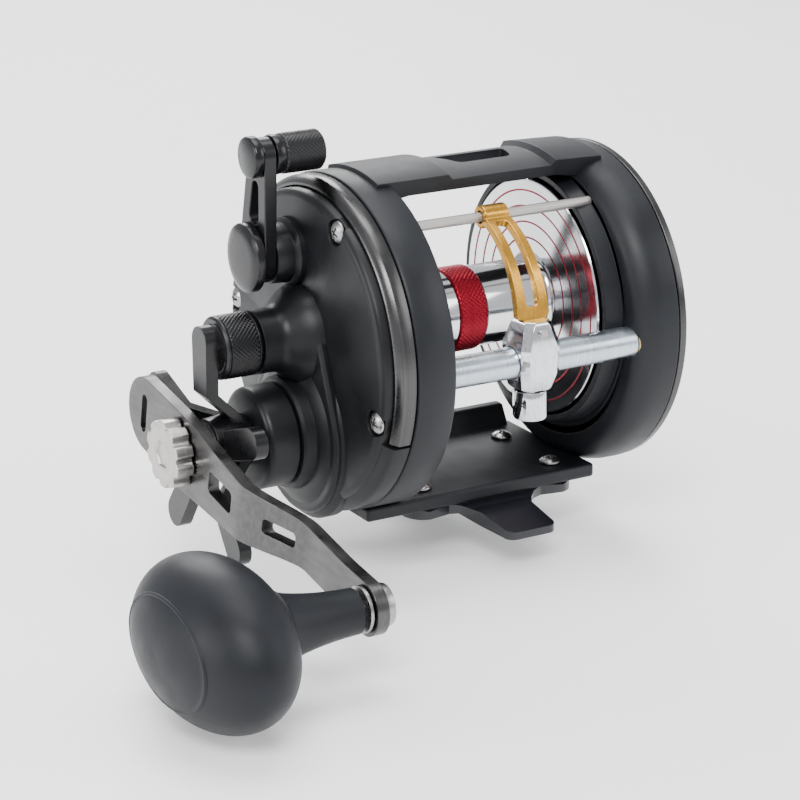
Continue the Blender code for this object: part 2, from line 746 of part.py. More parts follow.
def build_handle_plate(spool):
    """The cover on the crank side, with its gear housing, hub, lever boss and cap boss."""
    crank = (0.0, -GEAR_DISTANCE)
    inside = SPIGOT_RADIUS - SPIGOT_WALL
    shell = turned(
        [
            (PLATE_FACE, 0.0),
            (PLATE_FACE, BODY_RADIUS - 1.2),
            (PLATE_FACE + 0.9, BODY_RADIUS),
            (PLATE_SEAT, BODY_RADIUS),
            (PLATE_SEAT, SPIGOT_RADIUS),
            (PLATE_SEAT + SPIGOT_LENGTH, SPIGOT_RADIUS),
            (PLATE_SEAT + SPIGOT_LENGTH, inside),
            (PLATE_FACE + PLATE_WALL, inside),
            (PLATE_FACE + PLATE_WALL, 0.0),
        ],
        RING_CENTRE,
        FINE,
    )
    plate = finish("left_side_plate", shell, spool, "black_plate")
    join(plate, lower_rim(), *screw_bosses())
    join(plate, gear_housing(crank), teardrop(crank), cap_boss(), lever_boss())
    stages = (
        (HOUSING_CAVITY, HOUSING_INSIDE),
        (DRAG_CAVITY, WASHER_RADIUS + 1.6),
        (COLLAR_END - 1.0, SLEEVE_RADIUS + 1.0),
    )
    cut(plate, stepped(PLATE_SEAT + SPIGOT_LENGTH + 0.5, stages, crank, 32))
    pinion_end = MAIN_GEAR_OUT - 3.2 - YOKE_THROW
    stages = ((pinion_end, YOKE_RADIUS + 0.6), (BOSS_END - 1.0, BEARING_RADIUS + GAP))
    cut(plate, stepped(PLATE_SEAT + SPIGOT_LENGTH + 0.6, stages, (0.0, 0.0), COARSE))
    shaft_hole = (PLATE_FACE + PLATE_WALL + 1.0, PLATE_FACE - 8.0)
    cut(plate, rod(CAM_SHAFT_RADIUS + GAP, *shaft_hole, (LEVER_Y, LEVER_Z), 17))
    hole = PLATE_SCREW_SHANK + GAP
    for place in handle_screws():
        stages = ((PLATE_FACE + 1.5, hole), (PLATE_FACE - 1.0, PLATE_SCREW_HEAD + 0.4))
        cut(plate, stepped(PLATE_SEAT + 4.0, stages, place, SMALL))


def lower_rim():
    """The plate's own rim below the two ends of the trim ring."""
    start = 90.0 + TRIM_HALF_ANGLE + 1.0
    sweep = 360.0 - 2 * TRIM_HALF_ANGLE - 2.0
    outer = PLATE_SEAT - TRIM_WIDTH
    profile = [
        (PLATE_SEAT, BODY_RADIUS - 1.0),
        (PLATE_SEAT, TRIM_RADIUS),
        (outer + 0.8, TRIM_RADIUS),
        (outer, TRIM_RADIUS - 0.8),
        (outer - 1.4, BODY_RADIUS - 1.0),
    ]
    return turned(profile, RING_CENTRE, 16, sweep, start)


def screw_bosses():
    near = PLATE_SEAT + SPIGOT_LENGTH - 0.2
    return [rod(2.5, near, PLATE_FACE + 1.1, place, 13) for place in handle_screws()]


def gear_housing(crank):
    """The round housing over the main gear and the drag, stepping down to the hub collar."""
    return turned(
        [
            (PLATE_SEAT - 0.4, 0.0),
            (PLATE_SEAT - 0.4, HOUSING_RADIUS),
            (PLATE_FACE + 1.0, HOUSING_RADIUS),
            (PLATE_FACE, HOUSING_RADIUS - 1.0),
            (DRAG_CAVITY + 1.4, WASHER_RADIUS + 5.6),
            (DRAG_CAVITY - 0.8, WASHER_RADIUS + 3.4),
            (DRAG_CAVITY - 1.6, WASHER_RADIUS + 1.0),
            (COLLAR_END + 0.8, WASHER_RADIUS + 1.0),
            (COLLAR_END, WASHER_RADIUS + 0.2),
            (COLLAR_END, 0.0),
        ],
        crank,
        32,
    )


def teardrop(crank):
    """The raised panel that joins the gear housing to the cap boss."""
    outline = hull_outline((0.0, 0.0), 12.0, crank, HOUSING_RADIUS - 1.7, 15)
    return prism(outline, PLATE_FACE + 1.7, PLATE_FACE - 2.1)


def cap_boss():
    """The boss round the spool shaft's end, which the tension knob screws on to."""
    return turned(
        [
            (PLATE_FACE + 1.2, 0.0),
            (PLATE_FACE + 1.2, 12.5),
            (PLATE_FACE - 3.0, 11.6),
            (PLATE_FACE - 6.0, 9.4),
            (PLATE_FACE - 7.6, TENSION_RADIUS),
            (BOSS_END, TENSION_RADIUS),
            (BOSS_END, 0.0),
        ],
        steps=32,
    )


def lever_boss():
    place = (LEVER_Y, LEVER_Z)
    profile = [
        (PLATE_FACE + 1.4, 0.0),
        (PLATE_FACE + 1.4, 8.4),
        (PLATE_FACE - 1.6, 8.4),
        (PLATE_FACE - 2.4, 7.2),
        (PLATE_FACE - 6.7, 7.0),
        (PLATE_FACE - 6.7, 0.0),
    ]
    return turned(profile, place, 28)


def build_plain_plate(spool):
    """The cover on the side away from the crank, with the bearing seat and idler boss."""
    inside = SPIGOT_RADIUS - SPIGOT_WALL - PLAIN_RING_TAPER
    spigot = SPIGOT_RADIUS - PLAIN_RING_TAPER - 0.2
    body = PLAIN_RADIUS - TRIM_WALL - GAP + 0.4
    inner_face = PLAIN_FACE - PLATE_WALL - 0.4
    shell = turned(
        [
            (PLAIN_FACE, 0.0),
            (PLAIN_FACE - 0.5, body * 0.6),
            (PLAIN_FACE - 1.5, body - 2.0),
            (PLAIN_FACE - 2.2, body),
            (PLAIN_SEAT, body),
            (PLAIN_SEAT, spigot),
            (PLAIN_SEAT - SPIGOT_LENGTH, spigot),
            (PLAIN_SEAT - SPIGOT_LENGTH, inside),
            (inner_face, inside),
            (inner_face, 0.0),
        ],
        RING_CENTRE,
        FINE,
    )
    plate = finish("right_side_plate", shell, spool, "black_plate")
    join(plate, rod(BEARING_RADIUS + 2.2, PLAIN_BEARING_IN, inner_face + 1.0))
    stages = ((LEVEL_GEAR_OUT + 0.8, 1.5), (inner_face + 1.0, 3.2))
    join(plate, stepped(LEVEL_GEAR_IN, stages, IDLER_PLACE, 16))
    for place in plain_screws():
        join(plate, rod(3.2, PLAIN_SEAT - SPIGOT_LENGTH + 0.2, inner_face + 1.0, place, 16))
    bearing_end = PLAIN_BEARING_IN + BEARING_WIDTH + GAP
    stages = ((bearing_end, BEARING_RADIUS + GAP), (bearing_end + 1.3, SHAFT_RADIUS + GAP))
    cut(plate, stepped(PLAIN_BEARING_IN - 1.0, stages, (0.0, 0.0), COARSE))
    hole = PLATE_SCREW_SHANK + GAP
    for place in plain_screws():
        stages = ((plain_head_seat(), hole), (PLAIN_FACE + 1.0, PLATE_SCREW_HEAD + 0.4))
        cut(plate, stepped(PLAIN_SEAT - 4.0, stages, place, SMALL))
    slot = hull_outline((click_y() - CLICK_TRAVEL, 0.0), 2.2, (click_y(), 0.0), 2.2, 7)
    cut(plate, prism(slot, inner_face - 1.0, PLAIN_FACE + 1.0))


def plain_head_seat():
    return PLAIN_FACE - 2.7


def click_y():
    """Where the click button stands when the click is off, behind the spool's axis."""
    return CLICK_RADIUS + CLICK_TRAVEL + 9.0


def build_trim_rings(spool):
    """The gunmetal trim: an arc on the crank side and a full ring on the other."""
    outer = PLATE_SEAT - TRIM_WIDTH
    arc_profile = [
        (PLATE_SEAT, TRIM_INSIDE),
        (PLATE_SEAT, TRIM_RADIUS),
        (outer + 1.9, TRIM_RADIUS),
        (outer + 0.3, TRIM_RADIUS - 1.1),
        (outer, TRIM_RADIUS - 1.7),
        (outer, TRIM_INSIDE),
    ]
    start = 90.0 - TRIM_HALF_ANGLE
    handle = turned(arc_profile, RING_CENTRE, MEDIUM, 2 * TRIM_HALF_ANGLE, start)
    finish("left_trim_ring", handle, spool, "gunmetal")
    end = PLAIN_SEAT + PLAIN_TRIM_WIDTH
    ring_profile = [
        (PLAIN_SEAT, PLAIN_RADIUS - TRIM_WALL + 0.4),
        (PLAIN_SEAT, PLAIN_RADIUS - 0.2),
        (end - 0.7, PLAIN_RADIUS - 0.2),
        (end, PLAIN_RADIUS - 0.9),
        (end, PLAIN_RADIUS - TRIM_WALL + 0.4),
    ]
    finish("right_trim_ring", turned(ring_profile, RING_CENTRE, FINE), spool, "gunmetal")


def plate_screw(head_at, tip_at, place):
    """A slotted screw along X: head_at is under the head, tip_at is the far end."""
    out = math.copysign(1.0, head_at - tip_at)
    profile = [
        (head_at + out * 1.5, 0.0),
        (head_at + out * 1.4, 1.3),
        (head_at + out * 0.8, PLATE_SCREW_HEAD - 0.3),
        (head_at, PLATE_SCREW_HEAD),
        (head_at, PLATE_SCREW_SHANK),
        (tip_at, PLATE_SCREW_SHANK),
        (tip_at, 0.0),
    ]
    return turned(profile, place, SMALL)


def build_plate_screws(spool):
    for number, place in enumerate(handle_screws(), 1):
        shape = plate_screw(PLATE_FACE + 1.5 - GAP, HANDLE_WEB - 2.1, place)
        screw = finish(f"left_plate_screw_{number}", shape, spool, "screw_steel")
        slot = box((PLATE_FACE + 0.4, PLATE_FACE - 3.0), (-3.2, 3.2), (-0.3, 0.3))
        cut(screw, moved(slot, 0.0, *place))
    for number, place in enumerate(plain_screws(), 1):
        shape = plate_screw(plain_head_seat() + GAP, PLAIN_WEB + 2.0, place)
        screw = finish(f"right_plate_screw_{number}", shape, spool, "screw_steel")
        slot = box((PLAIN_FACE - 1.5, PLAIN_FACE + 2.0), (-3.2, 3.2), (-0.3, 0.3))
        cut(screw, moved(slot, 0.0, *place))


def build_bridge(spool):
    """The plate inside the crank side that carries the gear stud and the yoke's posts."""
    radius = RING_RADIUS - RING_WALL - 1.9
    disc = rod(radius, HANDLE_WEB - GAP, BRIDGE_OUT, RING_CENTRE, MEDIUM)
    bridge = finish("bridge_plate", disc, spool, "stainless")
    join(bridge, rod(STUD_RADIUS, BRIDGE_OUT + 0.5, COLLAR_END + 1.0, (0.0, -GEAR_DISTANCE), 20))
    for side in (-1, 1):
        post = (side * YOKE_POST_SPREAD, 0.0)
        join(bridge, rod(YOKE_POST_RADIUS, BRIDGE_OUT + 0.5, PLATE_FACE + PLATE_WALL + 0.5, post, 12))
    join(bridge, rod(1.5, BRIDGE_OUT + 0.5, ratchet_in() - RATCHET_THICK - 1.2, dog_place(), 14))
    cut(bridge, rod(8.0, HANDLE_WEB + 1.0, BRIDGE_OUT - 1.0))
    for place in handle_screws():
        cut(bridge, rod(LUG_RADIUS + GAP, HANDLE_WEB + 1.0, BRIDGE_OUT - 1.0, place, COARSE))


def ratchet_in():
    return BRIDGE_OUT - 2.0


def dog_place():
    return on_circle(RATCHET_RADIUS + 7.5, 38.0, (0.0, -GEAR_DISTANCE))


def build_spool(spool):
    """Two flanges on an arbor, with the hubs that carry the pinion's end and the gears."""
    flange = FLANGE_RADIUS
    groove = ARBOR_RADIUS - BAND_DEPTH
    half_band = BAND_WIDTH / 2 + GAP
    bore = SHAFT_RADIUS + GAP
    handle_half = [
        (-FLANGE_OUT - 2.5, bore),
        (-FLANGE_OUT - 2.5, 6.0),
        (-FLANGE_OUT, 6.4),
        (-FLANGE_OUT, flange - 0.5),
        (-FLANGE_OUT + 0.5, flange),
        (-HALF_SPOOL, flange),
        (-HALF_SPOOL, ARBOR_RADIUS + 1.4),
        (-HALF_SPOOL + 1.4, ARBOR_RADIUS),
        (-half_band, ARBOR_RADIUS),
        (-half_band, groove),
    ]
    plain_half = [(-x, r) for x, r in reversed(handle_half[3:])]
    hub = [
        (FLANGE_OUT, 6.4),
        (PLAIN_WEB + 0.4, 5.4),
        (PLAIN_WEB + 0.4, HUB_RADIUS),
        (CLICK_OUT, HUB_RADIUS),
        (CLICK_OUT, bore),
    ]
    finish("spool", turned(handle_half + plain_half + hub, steps=28), spool, "polished")
    half = BAND_WIDTH / 2
    band = ring(groove + GAP, ARBOR_RADIUS + 0.25, -half, half, steps=MEDIUM, chamfer=0.3)
    finish("arbor_band", band, spool, "red")


def build_spool_shaft(spool):
    end = PLAIN_BEARING_IN + BEARING_WIDTH + 1.0
    body = rod(SHAFT_RADIUS, TENSION_IN + 4.0, end, steps=20)
    shaft = finish("spool_shaft", body, spool, "stainless")
    reach = PINION_NECK_RADIUS - 0.1
    join(shaft, moved(upright_rod(PIN_RADIUS, -reach, reach, 12), pinion_start() - PIN_RADIUS + GAP))


def pinion_start():
    """The pinion's inner end, beyond the bridge."""
    return BRIDGE_OUT - 1.8


def build_spool_bearings(spool):
    inner = SHAFT_RADIUS + GAP
    out = TENSION_IN + 3.1
    left = ring(inner, BEARING_RADIUS, out + BEARING_WIDTH, out, steps=COARSE)
    finish("left_spool_bearing", left, spool, "stainless")
    near = PLAIN_BEARING_IN
    right = ring(inner, BEARING_RADIUS, near, near + BEARING_WIDTH, steps=COARSE)
    finish("right_spool_bearing", right, spool, "stainless")


def build_pinion(spool):
    """The sliding pinion: a slotted end, the yoke's groove and the teeth."""
    start = pinion_start()
    groove_in = start - PINION_COLLAR
    groove_out = groove_in - YOKE_THICK - 2 * GAP
    shoulder = groove_out - PINION_COLLAR / 2
    tail = MAIN_GEAR_OUT - 2.6
    body = turned(
        [
            (start, 0.0),
            (start, PINION_COLLAR_RADIUS),
            (groove_in, PINION_COLLAR_RADIUS),
            (groove_in, PINION_NECK_RADIUS),
            (groove_out, PINION_NECK_RADIUS),
            (groove_out, PINION_COLLAR_RADIUS),
            (shoulder, PINION_COLLAR_RADIUS),
            (shoulder, PINION_NECK_RADIUS + 0.2),
            (tail, PINION_NECK_RADIUS + 0.2),
            (tail, 0.0),
        ],
        steps=COARSE,
    )
    pinion = finish("pinion_gear", body, spool, "brass")
    teeth = gear_outline(PINION_TEETH, GEAR_MODULE, -math.pi / 2, GEAR_BACKLASH)
    join(pinion, prism(teeth, shoulder + 0.3, tail + 1.2))
    cut(pinion, rod(SHAFT_RADIUS + GAP, start + 1.0, tail - 1.0, steps=20))
    slot = (start + 1.0, start - 2 * PIN_RADIUS)
    width = PIN_RADIUS + GAP
    cut(pinion, box(slot, (-width, width), (-PINION_COLLAR_RADIUS - 1.0, PINION_COLLAR_RADIUS + 1.0)))


def yoke_in():
    return pinion_start() - PINION_COLLAR - GAP


def build_yoke(spool):
    """The fork that slides the pinion, and the two springs that press it inwards."""
    x_in = yoke_in()
    x_out = x_in - YOKE_THICK
    outline = hull_outline((-YOKE_POST_SPREAD, 0.0), 3.0, (YOKE_POST_SPREAD, 0.0), 3.0, 9)
    yoke = finish("yoke", prism(outline, x_in, x_out), spool, "brass")
    join(yoke, rod(YOKE_RADIUS, x_in, x_out))
    bore = PINION_NECK_RADIUS + GAP
    cut(yoke, rod(bore, x_in + 1.0, x_out - 1.0))
    cut(yoke, box((x_out - 1.0, x_in + 1.0), (-bore, bore), (-YOKE_RADIUS - 1.0, 0.0)))
    for side in (-1, 1):
        post = (side * YOKE_POST_SPREAD, 0.0)
        cut(yoke, rod(YOKE_POST_RADIUS + GAP, x_in + 1.0, x_out - 1.0, post, 12))
    for name, side in (("yoke_spring_front", -1), ("yoke_spring_rear", 1)):
        build_spring(name, spool, side * YOKE_POST_SPREAD, x_out - 0.7, PLATE_FACE + PLATE_WALL + 0.7)


def build_spring(name, parent, y, x_from, x_to, turns=3, radius=2.0, wire=0.35):
    """A coil spring as a curve with a round bevel."""
    curve = bpy.data.curves.new(name, "CURVE")
    curve.dimensions = "3D"
    curve.bevel_depth = wire * MM
    curve.bevel_resolution = 0
    curve.use_fill_caps = True
    count = turns * 8 + 1
    spline = curve.splines.new("POLY")
    spline.points.add(count - 1)
    for i, point in enumerate(spline.points):
        share = i / (count - 1)
        angle = 2 * math.pi * turns * share
        x = x_from + (x_to - x_from) * share
        place = (x, y + radius * math.cos(angle), radius * math.sin(angle))
        point.co = (*[value * MM for value in place], 1.0)
    obj = bpy.data.objects.new(name, curve)
    obj.parent = parent
    bpy.context.scene.collection.objects.link(obj)
    if "screw_steel" not in bpy.data.materials:
        make_material("screw_steel")
    curve.materials.append(bpy.data.materials["screw_steel"])


def build_drive(crank):
    """The main gear, the drag washers, the sleeve that the crank turns, and its ratchet."""
    phase = meshed_phase(-math.pi / 2, MAIN_TEETH, PINION_TEETH, -math.pi / 2)
    teeth = gear_outline(MAIN_TEETH, GEAR_MODULE, phase, GEAR_BACKLASH)
    gear = finish("main_gear", prism(teeth, MAIN_GEAR_IN, MAIN_GEAR_OUT), crank, "brass")
    cut(gear, rod(SLEEVE_RADIUS + GAP, MAIN_GEAR_IN + 1.0, MAIN_GEAR_OUT - 1.0))
    step = WASHER_THICK + GAP
    names = (("drag_washer", "carbon"), ("drag_plate", "stainless"))
    for number, (name, material) in enumerate(names):
        near = MAIN_GEAR_OUT - GAP - number * step
        shape = ring(SLEEVE_RADIUS + GAP, WASHER_RADIUS, near, near - WASHER_THICK)
        finish(name, shape, crank, material)
    build_sleeve(crank)
    ratchet = finish("dog_ratchet", ratchet_shape(), crank, "screw_steel")
    cut(ratchet, rod(SLEEVE_RADIUS - 0.4 + GAP, ratchet_in() + 1.0, ratchet_in() - RATCHET_THICK - 1.0))


def ratchet_shape():
    outline = []
    for tooth in range(RATCHET_TEETH):
        start = 360.0 * tooth / RATCHET_TEETH
        outline.append(on_circle(RATCHET_RADIUS, start))
        outline.append(on_circle(RATCHET_RADIUS - 2.2, start + 3.0))
        outline.append(on_circle(RATCHET_RADIUS - 1.3, start + 18.0))
    return prism(outline, ratchet_in(), ratchet_in() - RATCHET_THICK)


def build_sleeve(crank):
    start = BRIDGE_OUT - 0.6
    small = SLEEVE_RADIUS - 0.4
    flange_in = ratchet_in() - RATCHET_THICK - 0.6
    profile = [
        (start, STUD_RADIUS + GAP),
        (start, small),
        (flange_in, small),
        (flange_in, 6.2),
        (MAIN_GEAR_IN + GAP, 6.2),
        (MAIN_GEAR_IN + GAP, SLEEVE_RADIUS),
        (COLLAR_END - 0.4, SLEEVE_RADIUS),
        (COLLAR_END - 0.4, SLEEVE_RADIUS + 0.6),
        (HOUSING_END + 0.4, SLEEVE_RADIUS + 0.6),
        (HOUSING_END + 0.4, small),
        (ARM_IN + GAP, small),
        (ARM_IN + GAP, small - 0.4),
        (ARM_OUT - 0.2, small - 0.4),
        (ARM_OUT - 0.2, small - 1.0),
        (ARM_OUT - NUT_LENGTH + 0.7, small - 1.0),
        (ARM_OUT - NUT_LENGTH + 0.7, 0.0),
        (COLLAR_END + 0.5, 0.0),
        (COLLAR_END + 0.5, STUD_RADIUS + GAP),
    ]
    finish("gear_sleeve", sleeve_mesh(profile), crank, "stainless")


def sleeve_mesh(profile):
    """A turned solid whose profile touches the axis part of the way round its loop."""
    last = next(i for i, (_, r) in enumerate(profile) if r == 0.0)
    chain = profile[last + 1 :] + profile[: last + 1]
    return turned([(profile[last + 1][0], 0.0)] + chain[1:], steps=COARSE)


def build_bearing_housing(spool, crank_place):
    """The smooth thimble outside the hub and the one-way bearing inside it."""
    near = COLLAR_END - GAP
    outer = BEARING_HOUSING_RADIUS
    bore = SLEEVE_RADIUS + 4.6
    profile = [
        (near, bore),
        (near, outer),
        (HOUSING_END + 1.2, outer),
        (HOUSING_END, outer - 1.8),
        (HOUSING_END, SLEEVE_RADIUS + 1.2),
        (HOUSING_END + 1.4, SLEEVE_RADIUS + 1.2),
        (HOUSING_END + 1.4, bore),
    ]
    finish("bearing_housing", turned(profile, crank_place, MEDIUM), spool, "black_plate")
    bearing = ring(SLEEVE_RADIUS + 0.9, bore - GAP, near - 0.2, HOUSING_END + 1.7, crank_place, COARSE)
    finish("anti_reverse_bearing", bearing, spool, "stainless")


def build_dog(dog):
    """The dog that drops into the ratchet: held just clear of it while the crank turns."""
    x_in = ratchet_in()
    x_out = x_in - RATCHET_THICK + 0.3
    back = Vector((0.0, -GEAR_DISTANCE)) - Vector(dog_place())
    reach = back.length - RATCHET_RADIUS - GAP - 1.2
    tip = (back.normalized().x * reach, back.normalized().y * reach)
    outline = hull_outline((0.0, 0.0), 3.2, tip, 1.2, 7)
    piece = finish("anti_reverse_dog", prism(outline, x_in, x_out), dog, "screw_steel")
    cut(piece, rod(1.5 + GAP, x_in + 1.0, x_out - 1.0, steps=14))


def star_arm(angle):
    """One arm: it slopes outwards from the hub, then runs out flat to a round tip."""
    inner_x = HOUSING_END - 1.0
    rise = STAR_ARM_THICK
    path = [
        (3.4 + SLEEVE_RADIUS - 2.4, inner_x, 3.4),
        (7.0, inner_x - 1.2, 3.3),
        (13.4, STAR_ARM_IN, 3.5),
        (16.0, STAR_ARM_IN, 3.6),
        (STAR_REACH - STAR_ARM_WIDTH / 2, STAR_ARM_IN, STAR_ARM_WIDTH / 2),
    ]
    for share in (0.35, 0.65, 0.88):
        half = STAR_ARM_WIDTH / 2
        along = STAR_REACH - half + half * share
        path.append((along, STAR_ARM_IN, half * math.sqrt(1 - share * share)))
    turn = Matrix.Rotation(math.radians(angle), 3, "X")
    stations = []
    for r, x, half in path:
        corners = [(x, r, -half), (x, r, half), (x - rise, r, half), (x - rise, r, -half)]
        stations.append([turn @ Vector(corner) for corner in corners])
    return strip(stations, None, None, None)


def build_star(crank):
    hub = turned(
        [
            (HOUSING_END - 0.5, 0.0),
            (HOUSING_END - 0.5, 6.6),
            (HOUSING_END - 5.5, 7.0),
            (STAR_ARM_OUT + 1.4, 6.4),
            (STAR_ARM_OUT + 1.4, 0.0),
        ],
        steps=28,
    )
    star = finish("star_wheel", hub, crank, "black_metal")
    for number in range(STAR_ARMS):
        join(star, star_arm(90.0 + 360.0 * number / STAR_ARMS))
    cut(star, rod(SLEEVE_RADIUS - 0.4 + GAP, HOUSING_END + 1.0, STAR_ARM_OUT - 1.0))


def arm_x(along):
    """How far the arm has stepped inwards at a distance from the crank axis."""
    share = min(max((along - 0.40 * ARM_LENGTH) / (0.24 * ARM_LENGTH), 0.0), 1.0)
    return ARM_JOG * share


def arm_half_width(along):
    points = [
        (0.0, ARM_HALF_WIDTH),
        (0.40 * ARM_LENGTH, 7.2),
        (0.64 * ARM_LENGTH, 5.7),
        (0.86 * ARM_LENGTH, 5.6),
        (ARM_LENGTH, ARM_END_RADIUS),
    ]
    for (a, wide), (b, narrow) in zip(points, points[1:]):
        if a <= along <= b:
            return wide + (narrow - wide) * (along - a) / (b - a)
    return ARM_HALF_WIDTH


def arm_stations():
    """Distances along the arm with half widths, from the counter end to the knob end."""
    counter = ARM_HALF_WIDTH - 0.4
    centre = -ARM_COUNTER_REACH + counter
    rows = []
    for degrees in (12.0, 30.0, 50.0, 70.0, 90.0):
        angle = math.radians(degrees)
        rows.append((centre - counter * math.cos(angle), counter * math.sin(angle)))
    shares = (0.0, 0.2, 0.40, 0.46, 0.52, 0.58, 0.64, 0.75, 0.86, 0.94)
    rows += [(share * ARM_LENGTH, arm_half_width(share * ARM_LENGTH)) for share in shares]
    for degrees in (90.0, 70.0, 50.0, 30.0, 12.0):
        angle = math.radians(degrees)
        rows.append((ARM_LENGTH + ARM_END_RADIUS * math.cos(angle), ARM_END_RADIUS * math.sin(angle)))
    return rows


def arm_frame():
    """Along the arm and across it, in the plane of the crank's turn."""
    angle = math.radians(180.0 + ARM_DROP_ANGLE)
    along = Vector((0.0, math.cos(angle), math.sin(angle)))
    across = Vector((0.0, -along.z, along.y))
    return along, across


def build_arm(crank):
    along, across = arm_frame()
    stations = []
    for distance, half in arm_stations():
        x = ARM_IN + arm_x(distance)
        low = along * distance - across * half
        high = along * distance + across * half
        step = Vector((x, 0.0, 0.0))
        out = Vector((x - ARM_THICK, 0.0, 0.0))
        stations.append([low + step, high + step, high + out, low + out])
    arm = strip(stations, crank, "handle_arm", "arm_metal")
    cut(arm, rod(SLEEVE_RADIUS - 0.8 + GAP, ARM_IN + 1.0, ARM_OUT - 1.0))
    post = (along.y * ARM_LENGTH, along.z * ARM_LENGTH)
    cut(arm, rod(POST_RADIUS + GAP, KNOB_SIDE_IN + 1.0, KNOB_SIDE_OUT - 1.0, post, 20))
    cut(arm, arm_slot(-20.0, -3.6, -20.0, 3.6, 1.4))
    cut(arm, arm_slot(15.5, 0.0, 25.0, 0.0, 2.8))
    cut(arm, arm_slot(38.0, 0.0, 45.5, 0.0, 1.9))


def arm_slot(t0, w0, t1, w1, radius):
    """A slot through the arm between two points given along it and across it."""
    along, across = arm_frame()
    ends = [along * t + across * w for t, w in ((t0, w0), (t1, w1))]
    points = [(end.y, end.z) for end in ends]
    return prism(hull_outline(points[0], radius, points[1], radius, 7), ARM_IN + 8.0, ARM_OUT - 2.0)


def build_nut(crank):
    """The scalloped nut that holds the arm on."""
    outline = []
    for i in range(60):
        angle = 2 * math.pi * i / 60
        wave = max(0.0, math.cos(10 * angle))
        radius = NUT_RADIUS - 1.0 * wave
        outline.append((radius * math.cos(angle), radius * math.sin(angle)))
    far = ARM_OUT - GAP - NUT_LENGTH
    nut = finish("handle_nut", prism(outline, ARM_OUT - GAP, far), crank, "screw_steel")
    cut(nut, rod(SLEEVE_RADIUS - 1.1, ARM_OUT + 1.0, far + 0.7, steps=20))


def knob_shape():
    """Ellipse rings along X: a neck that flares into an egg, with a flatter outer face."""
    start = KNOB_SIDE_OUT - GAP - 0.9 - GAP
    body_from = start - KNOB_NECK_LENGTH
    rings = [(start, KNOB_NECK_RADIUS, KNOB_NECK_RADIUS)]
    for share in (0.35, 0.7, 0.9):
        grow = 2.4 * share * share
        radius = KNOB_NECK_RADIUS + grow
        rings.append((start - KNOB_NECK_LENGTH * share, radius, radius))
    for share in (0.03, 0.09, 0.18, 0.30, 0.42, 0.54, 0.66, 0.78, 0.88, 0.95, 0.99):
        swell = (4 * share * (1 - share)) ** 0.5
        neck = KNOB_NECK_RADIUS + 2.4
        long_half = max(KNOB_HALF_LONG * swell, neck if share < 0.5 else 0.0)
        short_half = max(KNOB_HALF_SHORT * swell, neck if share < 0.5 else 0.0)
        rings.append((body_from - KNOB_LENGTH * share, long_half, short_half))
    bm = bmesh.new()
    loops = []
    for x, long_half, short_half in rings:
        points = [on_circle(1.0, 360.0 * i / KNOB_FACETS) for i in range(KNOB_FACETS)]
        loops.append([bm.verts.new((x, a * long_half, b * short_half)) for a, b in points])
    for one, two in zip(loops, loops[1:]):
        for i in range(KNOB_FACETS):
            j = (i + 1) % KNOB_FACETS
            bm.faces.new((one[i], one[j], two[j], two[i]))
    bm.faces.new(loops[0])
    bm.faces.new(loops[-1])
    return close_up(bm)


def build_knob(knob):
    """The knob on its post, the washer behind it, and the post riveted through the arm."""
    piece = finish("handle_knob", knob_shape(), knob, "rubber")
    face = KNOB_SIDE_OUT - GAP
    cut(piece, rod(POST_RADIUS + GAP, face + 1.0, face - 31.0, steps=20))
    washer = ring(POST_RADIUS + GAP, 5.4, face, face - 0.9, steps=COARSE)
    finish("knob_washer", washer, knob, "screw_steel")
    head = KNOB_SIDE_IN + GAP
    profile = [
        (head + 2.4, 0.0),
        (head + 2.4, 4.4),
        (head + 1.6, 5.0),
        (head, 5.0),
        (head, POST_RADIUS),
        (face - 30.0, POST_RADIUS),
        (face - 30.0, 0.0),
    ]
    finish("knob_post", turned(profile, steps=COARSE), knob, "screw_steel")


def build_lever(lever):
    """The clutch lever, its cap, its knurled knob, and the cam it turns inside the plate."""
    x_in = PLATE_FACE - 7.0
    x_out = x_in - LEVER_THICK
    tip = on_circle(LEVER_LENGTH, LEVER_LEAN)
    outline = hull_outline((0.0, 0.0), 6.6, tip, 4.4, 11)
    piece = finish("clutch_lever", prism(outline, x_in, x_out), lever, "black_metal")
    slot = [on_circle(LEVER_LENGTH * share, LEVER_LEAN) for share in (0.42, 0.70)]
    cut(piece, prism(hull_outline(slot[0], 1.9, slot[1], 1.3, 7), x_in + 1.0, x_out - 1.0))
    cut(piece, rod(CAM_SHAFT_RADIUS + GAP, x_in + 1.0, x_out - 1.0))
    cut(piece, rod(1.8 + GAP, x_in + 1.0, x_out - 1.0, tip, 14))
    cap = [
        (x_out - GAP, 0.0),
        (x_out - GAP, 8.4),
        (x_out - 1.8, 8.4),
        (x_out - 2.9, 7.0),
        (x_out - 3.3, 0.0),
    ]
    finish("lever_cap", turned(cap), lever, "black_metal")
    build_lever_knob(lever, x_in, x_out, tip)
    build_cam(lever, x_out)


def build_lever_knob(lever, x_in, x_out, tip):
    """The knob points back over the plate, with a flat cap on the lever's outer face."""
    near = x_in + GAP
    far = near + LEVER_KNOB_LENGTH
    profile = [
        (x_out - 2.6, 0.0),
        (x_out - 2.6, LEVER_KNOB_RADIUS - 0.6),
        (x_out - 2.0, LEVER_KNOB_RADIUS),
        (x_out - GAP, LEVER_KNOB_RADIUS),
        (x_out - GAP, 1.8),
        (near, 1.8),
        (near, LEVER_KNOB_RADIUS - 0.2),
        (far - 0.8, LEVER_KNOB_RADIUS - 0.2),
        (far, LEVER_KNOB_RADIUS - 1.0),
        (far, 0.0),
    ]
    finish("lever_knob", turned(profile, tip, 24), lever, "black_metal")


